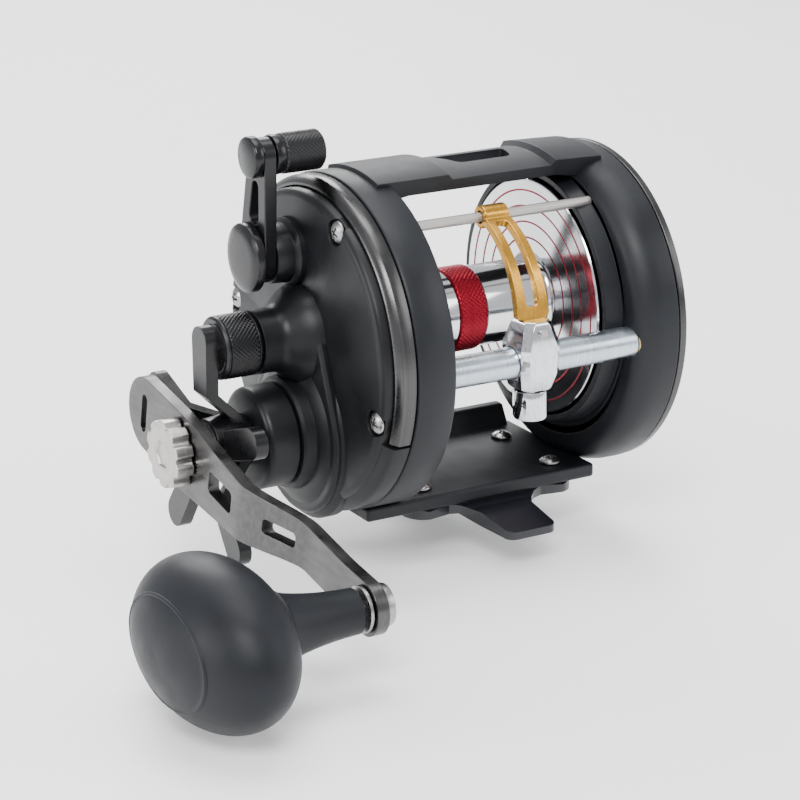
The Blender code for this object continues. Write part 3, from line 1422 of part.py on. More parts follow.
def build_cam(lever, x_out):
    """The cam under the yoke. Thrown, its finger points at the spool's axis and lifts the yoke."""
    cam_in = BRIDGE_OUT - 2 * GAP
    cam_out = yoke_in() - YOKE_THROW / 2 + GAP
    cam = finish("clutch_cam", rod(CAM_SHAFT_RADIUS, cam_in, x_out + 0.1, steps=24), lever, "screw_steel")
    towards = math.degrees(math.atan2(-LEVER_Z, -LEVER_Y))
    length = math.hypot(LEVER_Y, LEVER_Z) - PINION_COLLAR_RADIUS - 2 * GAP - CAM_TIP_RADIUS
    finger = on_circle(length, towards + LEVER_THROW)
    join(cam, prism(hull_outline((0.0, 0.0), CAM_RADIUS, finger, CAM_TIP_RADIUS, 9), cam_in, cam_out))


def build_tension_knob(spool):
    profile = [
        (TENSION_IN + 2.6, 0.0),
        (TENSION_IN + 2.6, BEARING_RADIUS - 0.1),
        (TENSION_IN, BEARING_RADIUS - 0.1),
        (TENSION_IN, TENSION_RADIUS - 0.3),
        (TENSION_IN - 0.6, TENSION_RADIUS),
        (TENSION_OUT + 0.8, TENSION_RADIUS),
        (TENSION_OUT, TENSION_RADIUS - 0.8),
        (TENSION_OUT, 5.6),
        (TENSION_OUT + 0.6, 5.2),
        (TENSION_OUT + 0.6, 0.0),
    ]
    finish("tension_knob", turned(profile, steps=MEDIUM), spool, "black_metal")


def build_level_gears(spool, idler, worm):
    """The train that turns the worm: a gear on the spool's hub, an idler, and the worm's."""
    near, far = LEVEL_GEAR_IN, LEVEL_GEAR_OUT
    spool_teeth = gear_outline(SPOOL_GEAR_TEETH, LEVEL_MODULE, LEVEL_DIRECTION, LEVEL_BACKLASH)
    gear = finish("spool_gear", prism(spool_teeth, near, far), spool, "nylon")
    cut(gear, rod(HUB_RADIUS + GAP, near - 1.0, far + 1.0))
    idler_phase = meshed_phase(LEVEL_DIRECTION, IDLER_TEETH, SPOOL_GEAR_TEETH, LEVEL_DIRECTION)
    idler_teeth = gear_outline(IDLER_TEETH, LEVEL_MODULE, idler_phase, LEVEL_BACKLASH)
    wheel = finish("idler_gear", prism(idler_teeth, near, far), idler, "nylon")
    cut(wheel, rod(1.5 + GAP, near - 1.0, far + 1.0, steps=16))
    worm_phase = meshed_phase(LEVEL_DIRECTION, WORM_GEAR_TEETH, IDLER_TEETH, idler_phase)
    worm_teeth = gear_outline(WORM_GEAR_TEETH, LEVEL_MODULE, worm_phase, LEVEL_BACKLASH)
    small = finish("worm_gear", prism(worm_teeth, near, far), worm, "nylon")
    cut(small, rod(1.5 + GAP, near - 1.0, far + 1.0, steps=16))


def worm_shape(x_from, x_to):
    """A cylinder with two crossing grooves, one of each hand, that meet at the ends."""
    around, along = 10, 28
    bm = bmesh.new()
    loops = []
    for row in range(along + 1):
        share = row / along
        loop = []
        for i in range(around):
            angle = 2 * math.pi * i / around
            lead = 2 * math.pi * WORM_TURNS * share
            cut_in = max(groove_share(angle - lead), groove_share(angle + lead))
            radius = WORM_RADIUS - WORM_GROOVE * cut_in
            x = x_from + (x_to - x_from) * share
            loop.append(bm.verts.new((x, radius * math.cos(angle), radius * math.sin(angle))))
        loops.append(loop)
    for one, two in zip(loops, loops[1:]):
        for i in range(around):
            j = (i + 1) % around
            bm.faces.new((one[i], one[j], two[j], two[i]))
    bm.faces.new(loops[0])
    bm.faces.new(loops[-1])
    return close_up(bm)


def groove_share(angle):
    """1 at the bottom of a groove, falling to 0 at its edges."""
    wrapped = (angle + math.pi) % (2 * math.pi) - math.pi
    return max(0.0, 1.0 - (wrapped / 0.65) ** 2)


def build_worm(spool, worm):
    """The reversing worm inside its slotted tube, and the bushings at its ends."""
    tube_in = HANDLE_WEB + 2.1
    tube_out = PLAIN_WALL + 0.6
    inner = TUBE_RADIUS - TUBE_WALL
    shape = ring(inner, TUBE_RADIUS, tube_in, tube_out, WORM_PLACE)
    tube = finish("worm_tube", shape, spool, "bright_zinc")
    half_slot = CARRIAGE_TRAVEL + PAWL_RADIUS + 0.2
    slot = box((-half_slot, half_slot), (-1.7 - GAP, 1.7 + GAP), (-TUBE_RADIUS - 1.0, -1.0))
    cut(tube, moved(slot, 0.0, *WORM_PLACE))
    shaft = finish("worm_shaft", worm_shape(-half_slot - 1.0, half_slot + 1.0), worm, "stainless")
    join(shaft, rod(1.5, HANDLE_WEB + 0.2, LEVEL_GEAR_OUT - 0.1, steps=16))
    bore = 1.5 + GAP
    left = ring(bore, TUBE_RADIUS, tube_in - GAP, HANDLE_WEB, WORM_PLACE, 24)
    finish("left_worm_bushing", left, spool, "brass")
    right = ring(bore, TUBE_RADIUS, tube_out + GAP, PLAIN_WEB, WORM_PLACE, 24)
    finish("right_worm_bushing", right, spool, "brass")


def build_guide_rod(spool):
    shape = rod(ROD_RADIUS, HANDLE_WEB + 0.4, PLAIN_WALL + 1.1, ROD_PLACE, 16)
    finish("guide_rod", shape, spool, "stainless")


def build_carriage(carriage):
    """The block that slides on the tube, its clamping screw, the pawl and its cap."""
    half = CARRIAGE_HALF_WIDTH
    outline = [
        (-half + 1.6, CARRIAGE_TOP),
        (half - 1.6, CARRIAGE_TOP),
        (half, CARRIAGE_TOP - 6.5),
        (half, -2.6),
        (half - 1.6, -CARRIAGE_BOTTOM),
        (-half + 1.6, -CARRIAGE_BOTTOM),
        (-half, -2.6),
        (-half, CARRIAGE_TOP - 6.5),
    ]
    depth = CARRIAGE_HALF_DEPTH
    block = finish("carriage", prism(outline, -depth, depth, "Y"), carriage, "polished")
    bevel(block, 1.2, 50.0)
    cut(block, rod(TUBE_RADIUS + GAP, -half - 1.0, half + 1.0, steps=32))
    cut(block, upright_rod(PAWL_RADIUS + GAP, -CARRIAGE_BOTTOM - 1.0, 0.0))
    tab = box((-2.5 - GAP, 2.5 + GAP), (-0.8 - GAP, 0.8 + GAP), (TUBE_RADIUS + 1.2, CARRIAGE_TOP + 1.0))
    cut(block, tab)
    screw_z = CARRIAGE_TOP - 2.4
    cut(block, moved(along_y(1.0 + GAP, -depth - 1.0, -0.5), 0.0, 0.0, screw_z))
    screw = moved(along_y(1.0, -depth - 0.1, -0.8 - 2 * GAP), 0.0, 0.0, screw_z)
    finish("carriage_screw", screw, carriage, "screw_steel")


def along_y(radius, y_from, y_to, steps=14):
    bm = rod(radius, y_from, y_to, steps=steps)
    bmesh.ops.rotate(bm, verts=bm.verts, matrix=Matrix.Rotation(math.radians(90.0), 3, "Z"))
    return bm


def build_pawl(carriage):
    bottom = -CARRIAGE_BOTTOM - 3.4
    pawl = [
        (bottom, 0.0),
        (bottom, PAWL_RADIUS),
        (-TUBE_RADIUS - 0.6, PAWL_RADIUS),
        (-TUBE_RADIUS - 0.2, 1.6),
        (-WORM_RADIUS - GAP - 0.1, 1.4),
        (-WORM_RADIUS - GAP - 0.1, 0.0),
    ]
    finish("pawl", upright(pawl, 16), carriage, "brass")
    top = -CARRIAGE_BOTTOM - GAP
    end = top - PAWL_CAP_LENGTH
    cap = [
        (top, PAWL_RADIUS + GAP),
        (top, PAWL_CAP_RADIUS),
        (end + 0.7, PAWL_CAP_RADIUS),
        (end, PAWL_CAP_RADIUS - 0.7),
        (end, 0.0),
        (bottom - GAP, 0.0),
        (bottom - GAP, PAWL_RADIUS + GAP),
    ]
    shape = sleeve_mesh(cap)
    bmesh.ops.rotate(shape, verts=shape.verts, matrix=Matrix.Rotation(math.radians(-90.0), 3, "Y"))
    finish("pawl_cap", shape, carriage, "polished")


def guide_path(share, offset):
    """A point on the line guide's curved centre line, pushed off it by offset."""
    base_y, base_z = 0.0, CARRIAGE_TOP + GAP
    top_y, top_z = ROD_BACK, ROD_RISE
    chord = math.hypot(top_y - base_y, top_z - base_z)
    lean = math.atan2(top_y - base_y, top_z - base_z)
    half_sweep = math.radians(GUIDE_SWEEP / 2)
    radius = chord / (2 * math.sin(half_sweep))
    angle = lean - half_sweep + 2 * half_sweep * share
    start = lean - half_sweep
    y = base_y + radius * (math.cos(start) - math.cos(angle))
    z = base_z + radius * (math.sin(angle) - math.sin(start))
    return y - offset * math.cos(angle), z + offset * math.sin(angle)


def guide_loops():
    """Outer and inner outlines of the guide, as (x, share of the path), point for point."""
    low, high, slot = GUIDE_WIDTH_LOW / 2, GUIDE_WIDTH_HIGH / 2, GUIDE_SLOT / 2
    shares = [0.12, 0.24, 0.36, 0.48, 0.60, 0.72, 0.82]
    right = [(low + (high - low) * s, s) for s in shares]
    inner_right = [(slot, s) for s in shares]
    outer = [(low * 0.5, 0.0), (low, 0.0)] + right + [(high, 0.94), (high * 0.5, 0.94)]
    inner = [(slot * 0.4, 0.075), (slot * 0.85, 0.09)] + inner_right
    inner += [(slot * 0.85, 0.86), (slot * 0.4, 0.875)]
    outer_left = [(-x, s) for x, s in reversed(outer)]
    inner_left = [(-x, s) for x, s in reversed(inner)]
    return outer + outer_left, inner + inner_left


def build_line_guide(carriage):
    """The tall loop that the line runs through, with an eye on the guide rod."""
    bm = bmesh.new()
    half = GUIDE_THICK / 2
    layers = []
    for offset in (half, -half):
        row = []
        for loop in guide_loops():
            row.append([bm.verts.new((x, *guide_path(s, offset))) for x, s in loop])
        layers.append(row)
    count = len(layers[0][0])
    (outer_front, inner_front), (outer_back, inner_back) = layers
    for i in range(count):
        j = (i + 1) % count
        bm.faces.new((outer_front[i], outer_front[j], inner_front[j], inner_front[i]))
        bm.faces.new((outer_back[i], outer_back[j], inner_back[j], inner_back[i]))
        bm.faces.new((outer_front[i], outer_front[j], outer_back[j], outer_back[i]))
        bm.faces.new((inner_front[i], inner_front[j], inner_back[j], inner_back[i]))
    guide = finish("line_guide", close_up(bm), carriage, "gold")
    eye = (ROD_BACK, ROD_RISE)
    half_eye = GUIDE_WIDTH_HIGH / 2
    join(guide, rod(ROD_RADIUS + GAP + 1.2, -half_eye, half_eye, eye, 20))
    join(guide, box((-2.5, 2.5), (-0.8, 0.8), (CARRIAGE_TOP - 4.4, CARRIAGE_TOP + 1.0)))
    cut(guide, rod(ROD_RADIUS + GAP, -half_eye - 1.0, half_eye + 1.0, eye, 20))


def build_click(spool):
    """The click: a toothed wheel on the spool's hub, and a button that brings up a tongue."""
    outline = []
    for tooth in range(CLICK_TEETH):
        start = 360.0 * tooth / CLICK_TEETH
        outline.append(on_circle(CLICK_RADIUS, start))
        outline.append(on_circle(CLICK_RADIUS - 1.3, start + 180.0 / CLICK_TEETH))
    wheel = finish("click_ratchet", prism(outline, CLICK_IN, CLICK_OUT), spool, "stainless")
    cut(wheel, rod(HUB_RADIUS + GAP, CLICK_IN - 1.0, CLICK_OUT + 1.0))
    place = (click_y(), 0.0)
    inner_face = PLAIN_FACE - PLATE_WALL - 0.4
    stem = 2.2 - GAP
    button = turned(
        [
            (PLAIN_FACE + 3.4, 0.0),
            (PLAIN_FACE + 3.4, 4.0),
            (PLAIN_FACE + 2.6, 4.8),
            (PLAIN_FACE + GAP, 4.8),
            (PLAIN_FACE + GAP, stem),
            (inner_face - 1.2, stem),
            (inner_face - 1.2, 0.0),
        ],
        place,
        24,
    )
    finish("click_button", button, spool, "black_metal")
    tip = (CLICK_RADIUS + CLICK_TRAVEL + GAP + 1.0, 0.0)
    blade = prism(hull_outline(place, 2.6, tip, 1.0, 7), CLICK_OUT, CLICK_IN)
    tongue = finish("click_tongue", blade, spool, "screw_steel")
    join(tongue, rod(2.2, CLICK_OUT - 0.1, inner_face - 1.2 - GAP, place, 16))


def build():
    for old in list(bpy.data.objects):
        bpy.data.objects.remove(old)
    spool = empty_at("spool_axis", (-FOOT_OFFSET, 0.0, SPOOL_HEIGHT))
    crank_place = (0.0, -GEAR_DISTANCE)
    crank = empty_at("crank_axis", (0.0, *crank_place), spool)
    along, _ = arm_frame()
    knob = empty_at("knob_axis", along * ARM_LENGTH, crank)
    lever = empty_at("lever_axis", (0.0, LEVER_Y, LEVER_Z), spool)
    dog = empty_at("dog_axis", (0.0, *dog_place()), spool)
    worm = empty_at("worm_axis", (0.0, *WORM_PLACE), spool)
    idler = empty_at("idler_axis", (0.0, *IDLER_PLACE), spool)
    build_frame(spool)
    build_foot(spool)
    build_foot_screws(spool)
    build_handle_plate(spool)
    build_plain_plate(spool)
    build_trim_rings(spool)
    build_plate_screws(spool)
    build_bridge(spool)
    build_spool(spool)
    build_spool_shaft(spool)
    build_spool_bearings(spool)
    build_pinion(spool)
    build_yoke(spool)
    build_drive(crank)
    build_bearing_housing(spool, crank_place)
    build_dog(dog)
    build_star(crank)
    build_arm(crank)
    build_nut(crank)
    build_knob(knob)
    build_lever(lever)
    build_tension_knob(spool)
    build_level_gears(spool, idler, worm)
    build_worm(spool, worm)
    build_guide_rod(spool)
    build_carriage(worm)
    build_pawl(worm)
    build_line_guide(worm)
    build_click(spool)


build()
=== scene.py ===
"""Looks for a level-wind trolling reel: finer pieces, their surfaces, and a studio stage.

Shapes are written in millimetres from the middle of the spool's axis, and put() moves them
into the part's frame in metres. Run as a script it builds everything and finishes the frame.
"""

import math

import bmesh
import bpy
from mathutils import Matrix, Vector


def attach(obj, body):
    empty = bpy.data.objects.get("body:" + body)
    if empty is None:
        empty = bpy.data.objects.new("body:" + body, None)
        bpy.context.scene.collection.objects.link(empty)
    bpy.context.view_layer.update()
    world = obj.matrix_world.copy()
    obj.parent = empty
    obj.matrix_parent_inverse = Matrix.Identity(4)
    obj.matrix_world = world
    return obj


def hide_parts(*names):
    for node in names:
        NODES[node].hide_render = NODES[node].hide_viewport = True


bl_info = {
    "name": "Trolling reel looks",
    "version": (1, 0, 0),
    "blender": (4, 5, 0),
    "location": "View3D > Sidebar > Reel",
    "description": "Finer pieces and surfaces for a level-wind trolling reel",
    "category": "Object",
}

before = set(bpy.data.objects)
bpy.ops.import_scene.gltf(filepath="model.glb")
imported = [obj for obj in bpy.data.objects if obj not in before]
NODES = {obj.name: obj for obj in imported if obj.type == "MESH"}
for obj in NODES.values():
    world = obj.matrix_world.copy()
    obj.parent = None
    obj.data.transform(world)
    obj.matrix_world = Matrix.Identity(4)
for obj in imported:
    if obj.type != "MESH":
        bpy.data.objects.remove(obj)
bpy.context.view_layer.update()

MM = 0.001
ORIGIN = Vector((-3.0, 0.0, 50.0))
RING = (-0.94, -2.7)
SPOOL = (0.0, 0.0)
CRANK = (0.0, -24.0)
LEVER = (5.0, 19.5)
LEVER_LENGTH = 25.2
LEVER_ANGLE = 96.8
LEVER_TIP = (
    LEVER[0] + LEVER_LENGTH * math.cos(math.radians(LEVER_ANGLE)),
    LEVER[1] + LEVER_LENGTH * math.sin(math.radians(LEVER_ANGLE)),
)
WORM = (-35.5, -3.6)
ROD = (-17.5, 27.7)
ARM_ANGLE = math.radians(191.2)
ARM_LENGTH = 77.0
KNOB = (
    CRANK[0] + ARM_LENGTH * math.cos(ARM_ANGLE),
    CRANK[1] + ARM_LENGTH * math.sin(ARM_ANGLE),
)
KNOB_START, KNOB_NECK, KNOB_TIP = -70.4, -90.4, -120.4
KNOB_WIDE, KNOB_TALL = 27.5, 18.6
LEFT_SCREW_CIRCLE, LEFT_SCREW_ANGLES = 35.6, (117.0, 196.0, 5.0)
RIGHT_SCREW_CIRCLE, RIGHT_SCREW_ANGLES = 34.0, (60.0, 240.0)
FOOT_MIDDLE = 3.0
FOOT_SCREW_X, FOOT_SCREW_Y = 19.0, 11.4
FINE = 128


class ReelLooks(bpy.types.PropertyGroup):
    frame_colour: bpy.props.FloatVectorProperty(
        name="Frame colour",
        description="Powder coat on the frame",
        subtype="COLOR",
        size=3,
        default=(0.0075, 0.0085, 0.011),
    )
    plate_colour: bpy.props.FloatVectorProperty(
        name="Plate colour",
        description="Side plates and gear housing",
        subtype="COLOR",
        size=3,
        default=(0.0045, 0.005, 0.0062),
    )
    grip_colour: bpy.props.FloatVectorProperty(
        name="Grip colour",
        description="Soft rubber of the crank's knob",
        subtype="COLOR",
        size=3,
        default=(0.0055, 0.0065, 0.009),
    )
    guide_colour: bpy.props.FloatVectorProperty(
        name="Line guide colour",
        description="Anodised line guide",
        subtype="COLOR",
        size=3,
        default=(0.60, 0.31, 0.045),
    )
    band_colour: bpy.props.FloatVectorProperty(
        name="Spool accent colour",
        description="Knurled band and the stripes on the flanges",
        subtype="COLOR",
        size=3,
        default=(0.24, 0.006, 0.018),
    )
    trim_colour: bpy.props.FloatVectorProperty(
        name="Trim colour",
        description="Gunmetal rings and crank arm",
        subtype="COLOR",
        size=3,
        default=(0.075, 0.074, 0.075),
    )
    floor_colour: bpy.props.FloatVectorProperty(
        name="Floor colour",
        description="Pale studio floor",
        subtype="COLOR",
        size=3,
        default=(0.97, 0.97, 0.97),
    )
    edge_round: bpy.props.FloatProperty(
        name="Edge rounding",
        description="Radius that softens the machined edges",
        default=0.25 * MM,
        min=0.0,
        max=1.0 * MM,
        subtype="DISTANCE",
        unit="LENGTH",
    )


def looks():
    return bpy.context.scene.reel_looks


# Surfaces.


class Nodes:
    """A short way to write a material's node tree."""

    def __init__(self, name):
        self.material = bpy.data.materials.new(name)
        self.material.use_nodes = True
        self.tree = self.material.node_tree
        self.shader = self.tree.nodes["Principled BSDF"]

    def add(self, kind, links=(), **settings):
        node = self.tree.nodes.new(kind)
        for key, value in settings.items():
            if key.startswith("in_"):
                node.inputs[key[3:].replace("_", " ")].default_value = value
            else:
                setattr(node, key, value)
        for socket, source in links:
            self.tree.links.new(source, node.inputs[socket])
        return node

    def noise(self, place, scale, detail=4.0):
        links = [("Vector", place)]
        node = self.add("ShaderNodeTexNoise", links, in_Scale=scale, in_Detail=detail)
        return node.outputs["Fac"]

    def fade(self, source, low, high, start=0.35, end=0.65):
        node = self.add("ShaderNodeMapRange", [("Value", source)])
        ends = (("From Min", start), ("From Max", end), ("To Min", low), ("To Max", high))
        for socket, value in ends:
            node.inputs[socket].default_value = value
        return node.outputs["Result"]

    def mix(self, factor, one, two):
        node = self.add("ShaderNodeMix", data_type="RGBA")
        self.tree.links.new(factor, node.inputs["Factor"])
        node.inputs[6].default_value = (*one, 1.0)
        node.inputs[7].default_value = (*two, 1.0)
        return node.outputs[2]

    def place(self):
        return self.add("ShaderNodeTexCoord").outputs["Object"]

    def turned_place(self, centre):
        """Coordinates along X and outwards from an axis, so that noise makes turning marks."""
        parts = self.add("ShaderNodeSeparateXYZ", [("Vector", self.place())]).outputs
        offsets = [(ORIGIN[1] + centre[0]) * MM, (ORIGIN[2] + centre[1]) * MM]
        squares = []
        for axis, offset in zip("YZ", offsets):
            shifted = self.add("ShaderNodeMath", [(0, parts[axis])], operation="SUBTRACT")
            shifted.inputs[1].default_value = offset
            square = self.add("ShaderNodeMath", [(0, shifted.outputs[0])], operation="POWER")
            square.inputs[1].default_value = 2.0
            squares.append(square.outputs[0])
        total = self.add("ShaderNodeMath", [(0, squares[0]), (1, squares[1])], operation="ADD")
        radius = self.add("ShaderNodeMath", [(0, total.outputs[0])], operation="SQRT")
        links = [("X", parts["X"]), ("Y", radius.outputs[0])]
        return self.add("ShaderNodeCombineXYZ", links).outputs[0]

    def stretched(self, scale):
        """Coordinates squeezed along some axes, so that noise makes brushing marks."""
        node = self.add("ShaderNodeMapping", [("Vector", self.place())])
        node.inputs["Scale"].default_value = scale
        return node.outputs[0]

    def finish(
        self, colour=None, roughness=None, height=None, strength=0.2, depth=0.05, **constants
    ):
        """Links what varies, sets what doesn't, and rounds the edges' shading."""
        soft = self.add("ShaderNodeBevel", samples=6)
        soft.inputs["Radius"].default_value = looks().edge_round
        normal = soft.outputs["Normal"]
        if height is not None:
            links = [("Height", height), ("Normal", normal)]
            bump = self.add("ShaderNodeBump", links, in_Strength=strength)
            bump.inputs["Distance"].default_value = depth * MM
            normal = bump.outputs["Normal"]
        self.tree.links.new(normal, self.shader.inputs["Normal"])
        if colour is not None:
            self.tree.links.new(colour, self.shader.inputs["Base Color"])
        if roughness is not None:
            self.tree.links.new(roughness, self.shader.inputs["Roughness"])
        for socket, value in constants.items():
            self.shader.inputs[socket.replace("_", " ")].default_value = value
        return self.material


def shade(colour, factor):
    return tuple(min(channel * factor, 1.0) for channel in colour)


def coated(name, colour, roughness, grain, strength, specular=0.5):
    """Paint, moulding or rubber: a fine grain, faint blotches and uneven sheen."""
    n = Nodes(name)
    place = n.place()
    fine = n.noise(place, grain, 2.0)
    broad = n.noise(place, 90.0)
    tone = n.mix(n.fade(broad, 0.0, 1.0), shade(colour, 0.85), shade(colour, 1.2))
    rough = n.fade(broad, roughness - 0.05, roughness + 0.06)
    return n.finish(tone, rough, fine, strength, 0.04, Specular_IOR_Level=specular)


def machined(name, colour, roughness, centre=None, stretch=None, strength=0.12, metallic=1.0):
    """Bare or anodised metal with turning or brushing marks, smears and tiny scratches."""
    n = Nodes(name)
    if centre is not None:
        marks_at = n.turned_place(centre)
    else:
        marks_at = n.stretched(stretch or (1.0, 1.0, 1.0))
    marks = n.noise(marks_at, 2600.0, 2.0)
    smear = n.noise(n.place(), 130.0)
    tone = n.mix(n.fade(marks, 0.0, 1.0), shade(colour, 0.88), shade(colour, 1.1))
    spread = n.fade(smear, roughness * 0.8, roughness * 1.35)
    return n.finish(tone, spread, marks, strength, 0.012, Metallic=metallic)


def woven(name, colour):
    """Carbon washer: a two-way weave."""
    n = Nodes(name)
    wave = n.add("ShaderNodeTexWave", [("Vector", n.place())], in_Scale=900.0)
    tone = n.mix(wave.outputs["Fac"], shade(colour, 0.5), shade(colour, 1.6))
    return n.finish(tone, None, wave.outputs["Fac"], 0.2, 0.03, Roughness=0.5)


def surfaces():
    """Every surface by name, made once."""
    if "powder_coat" in bpy.data.materials:
        return bpy.data.materials
    s = looks()
    coated("powder_coat", s.frame_colour, 0.44, 3200.0, 0.35, 0.28)
    coated("moulding", s.plate_colour, 0.40, 4200.0, 0.28, 0.28)
    coated("gloss_black", (0.003, 0.003, 0.0035), 0.14, 1500.0, 0.04, 0.4)
    coated("anodised_black", (0.004, 0.004, 0.005), 0.28, 3600.0, 0.15, 0.35)
    coated("soft_rubber", s.grip_colour, 0.50, 3000.0, 0.30, 0.25)
    coated("nylon", (0.70, 0.69, 0.62), 0.45, 1500.0, 0.10)
    machined("ring_gunmetal", s.trim_colour, 0.26, centre=RING)
    machined("arm_gunmetal", shade(s.trim_colour, 1.2), 0.30, stretch=(1.0, 0.05, 0.25))
    machined("polished", (0.36, 0.36, 0.38), 0.12, centre=SPOOL, strength=0.05)
    machined("chrome", (0.66, 0.67, 0.70), 0.07, stretch=(1.0, 1.0, 0.2), strength=0.03)
    machined("bright_zinc", (0.50, 0.56, 0.62), 0.26, centre=WORM, strength=0.10)
    machined("stainless", (0.36, 0.33, 0.31), 0.22, centre=ROD)
    machined("turned_steel", (0.55, 0.54, 0.52), 0.26, centre=SPOOL)
    machined("screw_steel", (0.34, 0.33, 0.33), 0.26, stretch=(1.0, 1.0, 1.0))
    machined("nut_steel", (0.46, 0.44, 0.42), 0.34, centre=CRANK, strength=0.2)
    machined("gold", s.guide_colour, 0.24, stretch=(1.0, 1.0, 0.15), metallic=0.95)
    machined("red", s.band_colour, 0.28, centre=SPOOL, metallic=0.85)
    machined("brass", (0.60, 0.44, 0.16), 0.30, centre=CRANK)
    woven("carbon", (0.03, 0.03, 0.03))
    return bpy.data.materials


# Shapes.


def put(bm):
    """Moves a shape from the spool's frame in millimetres into the part's frame in metres."""
    bmesh.ops.translate(bm, verts=bm.verts, vec=ORIGIN)
    bmesh.ops.scale(bm, vec=(MM, MM, MM), verts=bm.verts)
    return bm


def clean(bm):
    bmesh.ops.remove_doubles(bm, verts=bm.verts, dist=1e-5)
    bmesh.ops.recalc_face_normals(bm, faces=bm.faces)
    return bm


def lathe(profile, centre=SPOOL, steps=FINE, sweep=360.0, start=0.0):
    """A profile of (x, radius) spun about a line along X."""
    bm = bmesh.new()
    angle = math.radians(start)
    across = Vector((0.0, math.cos(angle), math.sin(angle)))
    middle = Vector((0.0, *centre))
    points = [bm.verts.new(middle + Vector((x, 0, 0)) + across * r) for x, r in profile]
    open_chain = profile[0][1] == 0.0 and profile[-1][1] == 0.0
    ends = points[1:] if open_chain else points[1:] + points[:1]
    edges = [bm.edges.new(pair) for pair in zip(points, ends)]
    if sweep < 360.0:
        edges.append(bm.faces.new(points))
    bmesh.ops.spin(
        bm,
        geom=points + edges,
        cent=middle,
        axis=(1.0, 0.0, 0.0),
        angle=math.radians(sweep),
        steps=steps,
        use_merge=sweep == 360.0,
        use_duplicate=False,
    )
    return clean(bm)


def prism(outline, low, high, along="X"):
    """An outline pushed from low to high along one axis."""
    bm = bmesh.new()
    places = {
        "X": lambda a, b: (low, a, b),
        "Y": lambda a, b: (a, low, b),
        "Z": lambda a, b: (a, b, low),
    }
    face = bm.faces.new([bm.verts.new(places[along](a, b)) for a, b in outline])
    grown = bmesh.ops.extrude_face_region(bm, geom=[face])["geom"]
    shift = Vector([high - low if axis == along else 0.0 for axis in "XYZ"])
    moving = [item for item in grown if isinstance(item, bmesh.types.BMVert)]
    bmesh.ops.translate(bm, verts=moving, vec=shift)
    return clean(bm)


def on_circle(radius, degrees, centre=(0.0, 0.0)):
    angle = math.radians(degrees)
    return (centre[0] + radius * math.cos(angle), centre[1] + radius * math.sin(angle))


def arc(centre, radius, start, end, count):
    step = (end - start) / (count - 1)
    return [on_circle(radius, start + step * i, centre) for i in range(count)]


def hull_outline(c0, r0, c1, r1, count=25):
    """The outline of two circles and the straight sides that join them."""
    gap = Vector(c1) - Vector(c0)
    direction = math.degrees(math.atan2(gap.y, gap.x))
    lean = math.degrees(math.acos((r0 - r1) / gap.length))
    far = arc(c1, r1, direction - lean, direction + lean, count)
    near = arc(c0, r0, direction + lean, direction + 360.0 - lean, count)
    return far + near


def loft(loops):
    """A skin through loops of equal length, closed at both ends."""
    bm = bmesh.new()
    rings = [[bm.verts.new(point) for point in loop] for loop in loops]
    count = len(rings[0])
    for one, two in zip(rings, rings[1:]):
        for i in range(count):
            j = (i + 1) % count
            bm.faces.new((one[i], one[j], two[j], two[i]))
    bm.faces.new(rings[0])
    bm.faces.new(rings[-1])
    return clean(bm)


def upright(profile, place, steps=48):
    """A profile of (z, radius) spun about a vertical line through (x, y)."""
    bm = lathe(profile, SPOOL, steps)
    bmesh.ops.rotate(bm, verts=bm.verts, matrix=Matrix.Rotation(math.radians(-90.0), 3, "Y"))
    bmesh.ops.translate(bm, verts=bm.verts, vec=(*place, 0.0))
    return bm


def merged(*shapes):
    """Several shapes in one mesh."""
    whole = bmesh.new()
    for shape in shapes:
        mesh = bpy.data.meshes.new("part")
        shape.to_mesh(mesh)
        shape.free()
        whole.from_mesh(mesh)
        bpy.data.meshes.remove(mesh)
    return whole


def piece(name, bm, material, body, replaces=(), round_mm=0.0, segments=3, angle=32.0):
    """Puts a shape in the scene with its surface, riding on a body of the frame."""
    mesh = bpy.data.meshes.new(name)
    put(bm).to_mesh(mesh)
    bm.free()
    mesh.shade_smooth()
    mesh.set_sharp_from_angle(angle=math.radians(angle))
    mesh.materials.append(surfaces()[material])
    obj = bpy.data.objects.new(name, mesh)
    bpy.context.scene.collection.objects.link(obj)
    if round_mm:
        bevel = obj.modifiers.new("round", "BEVEL")
        bevel.width = round_mm * MM
        bevel.segments = segments
        bevel.limit_method = "ANGLE"
        bevel.angle_limit = math.radians(angle)
    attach(obj, body)
    if replaces:
        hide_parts(*replaces)
    return obj


def carve(bm, *cutters):
    """The shape with the cutters taken out of it."""
    objects = []
    for number, shape in enumerate((bm, *cutters)):
        mesh = bpy.data.meshes.new(f"carve_{number}")
        shape.to_mesh(mesh)
        shape.free()
        objects.append(bpy.data.objects.new(f"carve_{number}", mesh))
        bpy.context.scene.collection.objects.link(objects[-1])
    whole = objects[0]
    for cutter in objects[1:]:
        modifier = whole.modifiers.new("cut", "BOOLEAN")
        modifier.operation = "DIFFERENCE"
        modifier.object = cutter
    graph = bpy.context.evaluated_depsgraph_get()
    result = bmesh.new()
    result.from_mesh(whole.evaluated_get(graph).to_mesh())
    for obj in objects:
        mesh = obj.data
        bpy.data.objects.remove(obj)
        bpy.data.meshes.remove(mesh)
    return result


